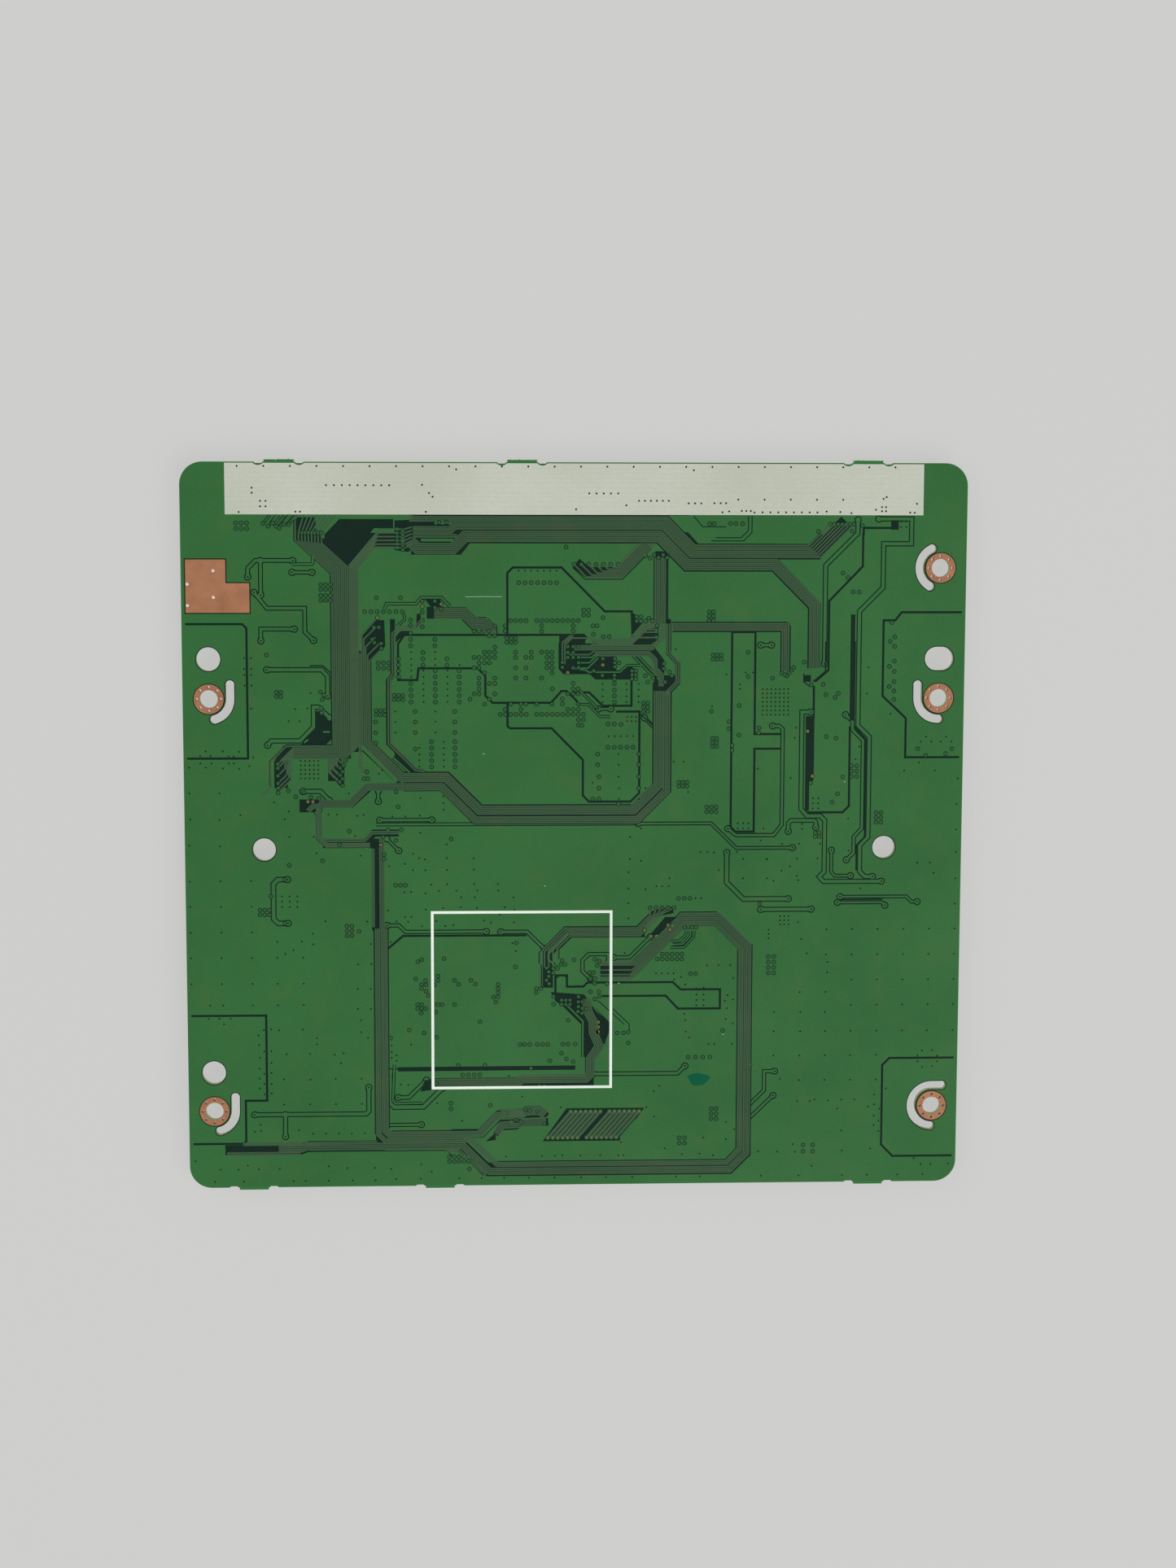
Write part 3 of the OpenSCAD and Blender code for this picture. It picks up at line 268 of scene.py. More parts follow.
# Each ribbon: how many tracks, their pitch, and the route of its middle.
ribbons = [
    (2, 0.45, [(-47.85, 18.9), (-47.85, 13.9), (-46.2, 12.3)]),
    (5, 0.43, [(-46.54, 37.3), (-46.54, 19.55), (-38.74, 11.75), (-28.9, 11.75), (-21.5, 4.35), (12.96, 4.35),
        (18.4, 9.8), (18.4, 31)]),
    (4, 0.43, [(-57.2, 5.9), (-50.2, 5.9), (-46.45, 9.65), (-29.85, 9.65), (-22.35, 2.15), (13.87, 2.15),
        (20.3, 8.6), (20.3, 31)]),
    (2, 0.5, [(-33.9, 46.9), (-35.6, 45.1), (-39.1, 45.1), (-40.45, 43.7), (-40.45, 34.7), (-41.4, 33.6),
        (-41.4, 19.4), (-35.6, 13.6), (-33.6, 13.3)]),
    (3, 0.43, [(-36.8, 69.07), (20.04, 69.07), (26.24, 62.87), (51.2, 62.87)]),
    (4, 0.43, [(-36, 66.65), (-27.7, 66.65), (-26.8, 67.55), (19.41, 67.55), (25.61, 61.35), (51.2, 61.35)]),
    (6, 0.43, [(-36.6, 64.2), (-34.9, 62.55), (-27.2, 62.55), (-24.5, 65.25), (18.46, 65.25), (24.66, 59.05),
        (44.2, 59.05), (53.2, 50.05), (53.2, 36)]),
    (3, 0.43, [(18.05, 60.6), (18.05, 45.7), (15.4, 45.7)]),
    (4, 0.42, [(17.7, 45.9), (15.6, 45.5), (12, 41.9), (3.4, 41.9)]),
    (3, 0.42, [(19.35, 60.6), (19.35, 43.1), (16.9, 40.65), (-0.4, 40.65)]),
    (3, 0.42, [(4.2, 39.3), (16.2, 39.3), (17.6, 37.9), (17.6, 36), (19, 34.6), (19, 32)]),
    (2, 0.5, [(20.6, 46), (20.6, 39.6), (22.6, 37.3), (22.6, 32.9), (20.6, 30.9), (20.6, 30)]),
    (4, 0.45, [(21.5, 45.25), (46.7, 45.25), (46.7, 35.4)]),
    (6, 0.44, [(-31.4, 48.3), (-24.6, 48.3), (-22.2, 45.95), (-20.2, 45.95), (-18.9, 44.6), (-18.9, 43.6)]),
    (1, 0.43, [(-47.79, 39.4), (-47.79, 19)]),
    (5, 0.42, [(-16.9, -64.9), (-12, -64.9), (-11.2, -64.3), (-8, -64.3), (-6.8, -65.2)]),
    (4, 0.45, [(-17.9, -69.6), (-16.6, -67.6), (-12.6, -67.4), (-11.8, -67), (-6.6, -66.9)]),
    (3, 0.4, [(-57, 5.4), (-58.5, 5.4), (-59.6, 4.3)]),
    (3, 0.36, [(-57.3, 5), (-57.3, -1.7), (-55.6, -3.4), (-45.9, -3.4)]),
    (2, 0.45, [(-56.2, -2.3), (-47.1, -2.3), (-45.4, -0.6), (-39.3, -0.6)]),
    (2, 0.4, [(-45.3, -4.2), (-45.3, -22)]),
    (3, 0.42, [(-43.3, -2), (-43.3, -22.3)]),
    (4, 0.4, [(-42.95, -22.3), (-42.95, -68.6), (-41.95, -69.6), (-21.9, -69.6), (-17.6, -65.3), (-12, -64.8),
        (-8, -64.3)]),
    (3, 0.4, [(-44.4, -22.3), (-44.4, -69.5), (-42.9, -71), (-23.4, -71), (-17.7, -76.7), (34.5, -76.7),
        (37.45, -73.75), (37.45, -27.35), (31.55, -21.45), (24.65, -21.45), (14.6, -31.45)]),
    (2, 0.43, [(-75, -71.5), (-67, -71.5), (-50, -71.35), (-44.8, -71.35)]),
    (2, 0.43, [(-78.6, -73.7), (-62, -73.7)]),
    (2, 0.43, [(-29.4, -73.4), (-26.4, -73.4), (-20.2, -79)]),
    (4, 0.43, [(-67, -72.6), (-61.6, -72.6), (-60.7, -72.2), (-25.5, -72.2), (-19.4, -78.3), (35.15, -78.3),
        (38.95, -74.5), (38.95, -26.7), (32.2, -19.95), (24.05, -19.95), (14.6, -29.4)]),
    (5, 0.42, [(-32.6, -57.75), (-13, -57.75), (-12, -56.9), (2.4, -56.9), (3.4, -55.9), (3.4, -52.5),
        (5.4, -49.5), (4.1, -46.4), (4, -43.8), (2.8, -41.4), (2.5, -38.6)]),
    (2, 0.45, [(-36, 65.35), (-26.2, 65.35)]),
]
fine_tracks = []
for count, pitch, points in ribbons:
    for k in range(count):
        fine_tracks.append(shifted(points, (k - (count - 1) / 2) * pitch))

# The left trunk: nine tracks from a row of vias under the strip; seven of them turn left lower down.
left_vias = [14.8, 13.9, 12.2, 10.5, 9.4, 8.4]
for k in range(9):
    down, stub, bend = -53.85 + 0.43 * k, -61.8 + 0.72 * k, 57 + 0.19 * k
    points = [(-60.8, 70), (stub, 69)] if k == 0 else [(-60.9 + k, 70), (stub, 66)]
    points += [(stub, bend + 0.92 * (down - stub)), (down, bend)]
    level = 18.8 - 0.43 * k
    if k == 0:
        points += [(down, level), (-64.3, level), (-67.8, 15.3), (-67.8, 9.8), (-69.7, 7.8)]
    elif k < 7:
        low, turn, end = -65.88 + 0.43 * k, 3.1 - 0.41 * k, left_vias[k - 1]
        points += [(down, level), (low + turn, level), (low, level - turn), (low, end + low + 66.2), (-66.2, end)]
    else:
        points.append((down, 66.94 + down))
    fine_tracks.append(points)

# The right trunk: six tracks from spaced tracks on the right, down beside the left ones.
for k in range(6):
    down, bend, level = -49.98 + 0.36 * k, 58.9 - 0.1 * k, 66.8 - 0.82 * k
    turn = down + (level - bend) / 1.17
    fine_tracks.append([(-39.4, level), (turn, level), (down, bend), (down, 66.94 + down)])

# Fans: the tracks at a ribbon's end, each to its own via.
for k, (x, y) in enumerate([(-43.9, 47.3), (-44.3, 45.2), (-44.4, 43), (-43.2, 41.9), (-42.9, 40.5)]):
    down = -47.4 + 0.43 * k
    fine_tracks.append([(x, y), (down, y - x + down), (down, 37.3)])
fan_vias = [(-51.9, 10), (-52.5, 10.8), (-51.9, 11.5), (-52.4, 12.3), (-51.9, 13.1), (-52.4, 13.9), (-51.6, 14.5)]
for k, (x, y) in enumerate(fan_vias):
    down = -54.9 + 0.36 * k
    fine_tracks.append([(down, 16.1), (down, y + x - down), (x, y)])
for k in range(7):
    level, bend = 60.71 + 0.43 * k, 54.4 - 0.45 * k
    fine_tracks.append([(51.2, level), (bend, level), (bend + 68 - level, 68)])
for k in range(7):
    level, start, bend = 56.3 + 0.43 * k, -0.45 + 1.625 * k, 10.2 - 0.178 * k
    turn = start + 59.1 - level
    if turn < bend:
        fine_tracks.append([(start, 59.1), (turn, level), (bend, level), (bend + 63.8 - level, 63.8)])
    else:
        fine_tracks.append([(start, 59.1), (start + 4.6, 63.7)])
for k, foot in enumerate((-36, -31.5, -31.5, -31.6, -29.6)):
    level, bend, down, turn = -22.5 - 0.43 * k, -2.4 + 0.3 * k, -7.9 + 0.95 * k, 13.9 + 0.18 * k
    rise = min(2.9 + 1.2 * k, -19.2 - level)
    fine_tracks.append([(down, foot), (down, level - bend + down), (bend, level), (turn, level),
                        (turn + rise, level + rise), (16.8 + 1.35 * k, -17.9)])
for level, rise in ((-30.1, 43.1), (-30.5, 43.7), (-30.9, 44.3), (-32.05, 44.9), (-33.1, 45.5), (-33.7, 46.05),
                    (-34.2, 46.6)):
    fine_tracks.append([(15.8, 15.8 - rise), (level + rise, level), (5.6, level)])
for k in range(6):
    level = 66.8 - 0.82 * k
    fine_tracks.append([(-39.4, level), (-37.7, level), (-36.2, 67.3 - 0.75 * k)])
for level, end in ((45.3, 15.1), (44.7, 14.6), (44.1, 14), (42.9, 12.9)):
    fine_tracks.append([(18.2, level), (end, level)])
for across in (-3, -2.45):
    fine_tracks.append([(across + 1.9, 43.5), (across, 41.8), (across, 37)])
fine_tracks.append([(-2.2, 41.4), (-0.9, 42.8), (3.2, 42.8), (4.2, 42)])
fine_tracks.append([(-1.8, 39.6), (-1.2, 39.1), (3, 39.1), (4.2, 40)])

track_width, comb_width, comb_pitch, comb_starts = 0.34, 0.66, 1.12, (-6.2, 2.6)
mesh = bmesh.new()
for k, points in enumerate(fine_tracks):
    lay_track(mesh, points, track_width, FACE, TRACK_TOP + hair(k, 0.0002, 23))
for start in comb_starts:
    for k in range(7):
        low = start + comb_pitch * k
        lay_track(mesh, [(low - 0.2, -70.83), (low + 5.4, -64.37)], comb_width, FACE, TRACK_TOP)
mask_on_tracks = new_material("mask on tracks", mask_group, 0.012, 0.15,
                              Body=(58, 90, 60), Shade=(48, 77, 50), Tint=(78, 90, 54))
ribbon_piece = make_piece("track_ribbons", mesh, "mask_over_tracks", mask_on_tracks)
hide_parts("track_buses")


# Single tracks and the comb of coupling tracks: wider tracks, each in its own gap in the pour, with a pad at each
# end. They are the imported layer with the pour's mask on it.
dress(mask_on_copper, "single_tracks")


# Dark work: places where the mask lies on bare laminate, too fine for the pour's own gaps. Patches under the fans
# of tracks, hair-fine gaps and the outlines of narrow tracks are thin plates of dark mask let into the pour. The
# narrow tracks themselves, and islands of pour between the tracks, are plates of green mask over them.
GAP_TOP = 5.655
let_in = 0.02
dark_patches = [
    [(-47.4, 43.2), (-44.2, 46.8), (-42.4, 46.8), (-42.2, 41), (-45.6, 37.6), (-47.4, 37.6)],
    [(-66.4, 15.2), (-65.5, 15.4), (-63.4, 11.6), (-63.4, 11.2), (-66.4, 8.2)],
    [(-55, 12.7), (-55, 13.5), (-52.3, 15.6), (-51.4, 14.8), (-51.6, 9.8), (-52.4, 9.8)],
    [(-40.3, 17.4), (-39.9, 17.6), (-35, 13.2), (-35, 12.8), (-36.8, 12.8), (-40.3, 16.2)],
    [(-44.9, -6), (-44, -6), (-44, -21.5), (-44.9, -21.5)],
    [(-56, -2.9), (-53, -2.9), (-53, -3.9), (-56, -3.9)],
    [(-77.6, -72), (-67, -72), (-67, -73.4), (-78.6, -73.4)],
    [(-34, -57), (-32.5, -57), (-32.5, -59.3), (-35, -59.7)],
    [(-20.3, -71.3), (-18, -69.3), (-18, -71)],
    [(-17.2, -64), (-12.3, -63.8), (-11.4, -63.2), (-7.8, -63.2), (-5.9, -65), (-6.5, -65.8), (-12, -66),
        (-16.8, -66)],
    [(-18.6, -69.4), (-17, -66.3), (-6.2, -66), (-6, -67.8), (-12.3, -67.9), (-13, -68.6), (-16.4, -68.8),
        (-17.4, -70.2)],
    [(-28, -69.8), (-24, -69.8), (-24, -70.3), (-28, -70.3)],
    [(5.2, 38.8), (8.4, 38.8), (8.4, 35.4), (2.5, 35.4)],
    [(51, 34.5), (52.5, 34.5), (52.5, 33), (51, 33)],
    [(70, 68.9), (71.7, 68.9), (71.7, 66.8), (70, 66.8)],
    [(51.5, 63.4), (54.2, 66.2), (55, 65.4), (52.6, 63.2)],
    [(24, 66.2), (24.8, 66.2), (27.2, 63.6), (26.4, 63.6)],
    [(5.6, -31.1), (13.6, -31.1), (12, -33.5), (5.6, -33.5)],
    [(2.2, -47), (4, -48.6), (4, -49.8), (2.2, -51.5)],
    [(4.7, -41.5), (7.3, -43.6), (7.8, -44.8), (6.9, -45), (6.8, -49), (5.9, -48.5), (5.8, -45.5), (4.7, -43.9)],
    [(-3.2, -39.9), (-2.2, -39.9), (1.8, -43.9), (1.8, -45)],
    [(17.3, -23.6), (20.2, -20.5), (23.6, -20.4), (18.9, -24.3)],
    [(-5, -36.9), (-3.9, -37.7), (0.4, -37.8), (0.4, -40), (-3.2, -40), (-4.4, -39.2)],
    [(19.5, 34.5), (22.5, 34.5), (22.3, 32.2), (19.5, 32)],
    [(-33.5, 51.5), (-30, 51.5), (-29.6, 49.2), (-30.4, 48.2), (-31, 48.2)],
    [(-35.2, 48.2), (-34.4, 48.2), (-34.3, 46.2), (-35.4, 45.2)],
    [(-39.9, 41.8), (-38.2, 43.4), (-36.3, 43.8), (-36.3, 44.4), (-38.8, 44.4), (-39.9, 43.2)],
    [(-40, 68.7), (-36, 68.9), (-36, 62.6), (-37, 61.8), (-40, 62.2)],
    [(12.6, 41.3), (17, 41.3), (18.4, 42.7), (18.4, 45.9), (16, 45.9)],
    [(12.4, 48.2), (13.1, 48.2), (13.2, 46.4), (14.9, 46.2), (12.4, 43.4)],
    [(-40, -54), (0, -53.9), (0, -54.9), (-40, -55)],
    [(61.3, 42), (62.5, 42), (62.5, 24.4), (61.3, 24.2)],
]
# Width and route of each gap, then of each narrow track.
hair_gaps = [
    (0.3, [(-58.9, 36.7), (-56, 36.7), (-54.3, 35.1)]),
    (0.22, [(-44.5, 1.55), (14, 1.55)]),
    (0.22, [(-44.5, 0.9), (14, 0.9)]),
    (0.5, [(63.9, 65.6), (63.9, 67.2), (70.1, 67.2)]),
    (0.22, [(38.2, 69.8), (38.2, 66.6), (36.6, 65), (31, 65)]),
    (0.22, [(39, 69.8), (39, 66.2), (37.2, 64.3), (30, 64.3)]),
    (0.22, [(26, 69.8), (28.1, 67.4), (33.3, 67.4)]),
    (0.22, [(27, 63.55), (51.5, 63.55)]),
    (0.22, [(-36.8, 69.95), (25, 69.95)]),
    (0.22, [(-0.7, 58.4), (2, 55.8), (10.3, 55.8), (15.2, 60.7)]),
    (0.22, [(-54.2, 57.2), (-54.2, 19.1), (-64.3, 19.1), (-68, 15.4), (-68, 9.7)]),
    (0.22, [(-62.1, 69), (-62.1, 64.3), (-54.2, 57)]),
    (0.22, [(-45.4, 37.8), (-45.4, 19.95), (-38.3, 12.95), (-28.3, 12.95), (-20.9, 5.55), (12.4, 5.55)]),
    (0.22, [(-22.2, 47.35), (-20, 47.35), (-17.5, 45), (-17.5, 43.5)]),
    (0.3, [(-3.7, 41.75), (-3.7, 36), (-2.7, 34.9), (3.1, 34.9), (4.3, 33.8)]),
    (0.22, [(21.1, 30.5), (23.1, 32.6), (23.1, 37.2), (21.1, 39.3), (21.1, 46)]),
    (0.22, [(17.3, 61), (17.3, 43)]),
    (0.22, [(20.4, 60.5), (20.4, 46.3), (46.9, 46.3), (47.8, 45.4), (47.8, 35.2)]),
    (0.22, [(21.5, 44.2), (45.7, 44.2), (45.7, 35)]),
    (0.25, [(50.9, 34.9), (50.9, 33), (52.2, 32), (53.2, 32)]),
    (0.3, [(55.75, 42), (55.75, 35.3), (53, 33)]),
    (0.45, [(62.3, 23), (65.1, 20), (65.1, -2), (63.3, -3.9), (63.3, -9.6)]),
    (0.3, [(59.7, -16.25), (69.3, -16.2)]),
    (0.3, [(13.7, 26.5), (17.5, 23)]),
    (0.25, [(-4.5, -37), (-4.5, -34), (-3.5, -33.2), (-2.5, -33.2), (-1.9, -34), (-1.9, -35.8), (1.8, -35.8)]),
    (0.22, [(5, -39), (8.4, -42), (11, -44.5)]),
    (0.22, [(8, -40.5), (12.2, -44.5), (12.2, -46)]),
    (0.22, [(36.6, -27.6), (36.6, -73.4), (34.2, -76), (-18.6, -76)]),
    (0.22, [(39.9, -26.3), (39.9, -75), (35.6, -79.3), (-20, -79.3), (-26, -73.3)]),
    (0.22, [(31.9, -18.9), (23.6, -18.9), (13.6, -29.6)]),
    (0.22, [(-42, -22), (-42, -68.2)]),
    (0.22, [(-45.2, -22), (-45.2, -69.5)]),
    (0.22, [(-41.6, -68.7), (-21.6, -68.7), (-17.4, -64.5), (-12, -63.9)]),
    (0.22, [(-60.2, -73.3), (-29, -73.3), (-27.6, -75)]),
    (0.22, [(-32.6, -56.7), (1.9, -56.7)]),
    (0.22, [(-32.6, -58.8), (2.4, -58.8), (4.2, -57)]),
    (0.22, [(13.8, -22.1), (-2.4, -22.1), (-8.2, -28), (-8.2, -30.3), (-7.6, -31), (-7.6, -36)]),
    (0.22, [(16, -24.5), (-0.9, -24.5), (-3.7, -27.3), (-3.7, -29.5)]),
]
narrow_tracks = [
    (0.4, [(-42.3, 49.2), (-41.9, 50.4), (-35.4, 50.4), (-34.2, 51.75), (-29.8, 51.75), (-27.8, 49.8)]),
    (0.3, [(-38.2, 48.4), (-37.9, 47.4), (-38, 46.8), (-39.6, 45.4)]),
    (0.3, [(0.6, 38.5), (3.5, 38.5), (4.5, 39.4)]),
    (0.3, [(0.6, 37.3), (3, 37.3), (5, 39.2)]),
    (0.3, [(0.6, 36.1), (2.7, 36.1), (5, 38.4)]),
    (0.3, [(-0.6, 36.1), (2.3, 35.6), (2.9, 35.2), (9.8, 35.2), (11.5, 36.7), (15, 36.7)]),
    (0.3, [(12.6, 39), (17, 34.4)]),
    (0.3, [(13.6, 39), (18.4, 34)]),
    (0.3, [(0.5, 31.5), (5, 27)]),
    (0.3, [(0.5, 28), (2.8, 28), (5.4, 25.3), (7.7, 25.3)]),
    (0.4, [(-56.1, 22), (-54.6, 22)]),
    (0.4, [(-59.4, 20.3), (-60.3, 19.6)]),
    (0.35, [(-40.7, 16.3), (-37, 12.9)]),
    (0.35, [(-40.8, -53.4), (-41.2, -61.6), (-40.6, -62.4), (-34.6, -62.3)]),
    (0.35, [(-1.6, -23.7), (-6.1, -28.3), (-6.1, -29.5), (-4, -31.5)]),
    (0.35, [(-2, -40), (1.7, -43.7), (1.7, -52)]),
    (0.35, [(-23.5, -70.1), (-21, -70.1), (-17, -66)]),
    (0.4, [(-62.6, 59.1), (-58.3, 59.1), (-58, 59.4), (-58, 61)]),
    (0.3, [(25, -23.2), (24.8, -24.2), (23.4, -25.5), (21.6, -25.6)]),
    (0.3, [(25.9, -23.2), (25.9, -24.5), (24.2, -26.2), (22, -26.3)]),
    (0.3, [(26.8, -23.2), (26.6, -24.6), (24.5, -26.9), (21.4, -27)]),
]
comb_vias = [(-68.8, 68), (-67.7, 67.4), (-66.7, 68.1), (-66, 67.4), (-65.3, 67), (-64.2, 67.8), (-63.2, 67.8)]
for x, y in comb_vias:
    narrow_tracks.append((0.3, [(x + 0.8 * (69.9 - y), 69.9), (x, y)]))


def lay_plate(whole, corners, low, height):
    """Adds a flat plate with an outline of the given corners."""
    plate = bmesh.new()
    plate.faces.new([plate.verts.new((*corner, low)) for corner in corners])
    thicken(plate, height)
    gather(whole, plate)


outline_width, gap_rise, outline_rise, island_rise = 0.2, 0.001, 0.002, 0.004
bed = POUR_TOP - let_in
mesh = bmesh.new()
for k, corners in enumerate(dark_patches):
    lay_plate(mesh, corners, bed, GAP_TOP - POUR_TOP + let_in + hair(k, 0.0003, 3))
for k, (width, points) in enumerate(hair_gaps):
    lay_track(mesh, points, width, bed, GAP_TOP + gap_rise + hair(k, 0.0003, 3))
for k, (width, points) in enumerate(narrow_tracks):
    lay_track(mesh, points, width + 2 * outline_width, bed, GAP_TOP + outline_rise + hair(k, 0.0003, 3))
dark_mask = new_material("mask on bare laminate", mask_group, 0.02, 0.08, **dark_tones)
make_piece("dark_work", mesh, "board_laminate", dark_mask)

pour_islands = [
    [(-5.6, -37), (-4.4, -39.2), (-3.2, -39.9), (1.6, -44.8), (1.6, -46.8), (-4.1, -41.1)],
    [(10.2, -71.45), (10.2, -70.4), (13.55, -66.5), (13.85, -66.4), (11, -70.4), (10.35, -71.45)],
    [(-19.5, 47.3), (-16.9, 47.3), (-16.9, 44.3), (-17.4, 44.3), (-17.4, 45.1)],
    [(2, -37.6), (4.6, -39.9), (8.3, -45), (7.8, -44.8), (7.3, -43.6), (4.7, -41.5), (3.2, -39.4)],
    [(9, 38.7), (9, 35.6), (10, 35.6), (11.3, 36.9), (13, 36.9), (13, 37.6), (11.6, 38.7)],
    [(2.1, 42.4), (2.7, 42.7), (3.3, 42.7), (3.9, 41.6), (2.1, 41.6)],
    [(-48.4, 19), (-47.3, 19), (-39.6, 11.3), (-39.9, 10.5)],
    [(-31.2, 68.4), (-27.4, 68.4), (-27.4, 67.85), (-31.2, 67.85)],
    [(-34.2, 64.75), (-27.2, 64.75), (-26.8, 64.1), (-34.2, 64.1)],
]
mesh = bmesh.new()
for k, (width, points) in enumerate(narrow_tracks):
    lay_track(mesh, points, width, bed, TRACK_TOP + hair(k, 0.0005, 3))
for corners in pour_islands:
    lay_plate(mesh, corners, FACE, POUR_TOP + island_rise - FACE)
make_piece("narrow_tracks", mesh, "mask_over_copper", mask_on_copper)


# Ring vias: a masked pad in a dark clearance ring, with the drilled hole showing in its middle. One is turned
# and inset, and copies of it are set out in rows, grids and singly where the photograph has them.
# Places are millimetres from the board's centre: a row, a grid from its upper left, places that share a y or an x.
def row(x, y, step_x, step_y, count):
    return [(x + step_x * k, y + step_y * k) for k in range(count)]


def grid(x, y, step, across, down, step_y=None):
    return [(x + step * i, y - (step_y or step) * j) for j in range(down) for i in range(across)]


def at_y(y, *places):
    return [(x, y) for x in places]


def at_x(x, *places):
    return [(x, y) for y in places]


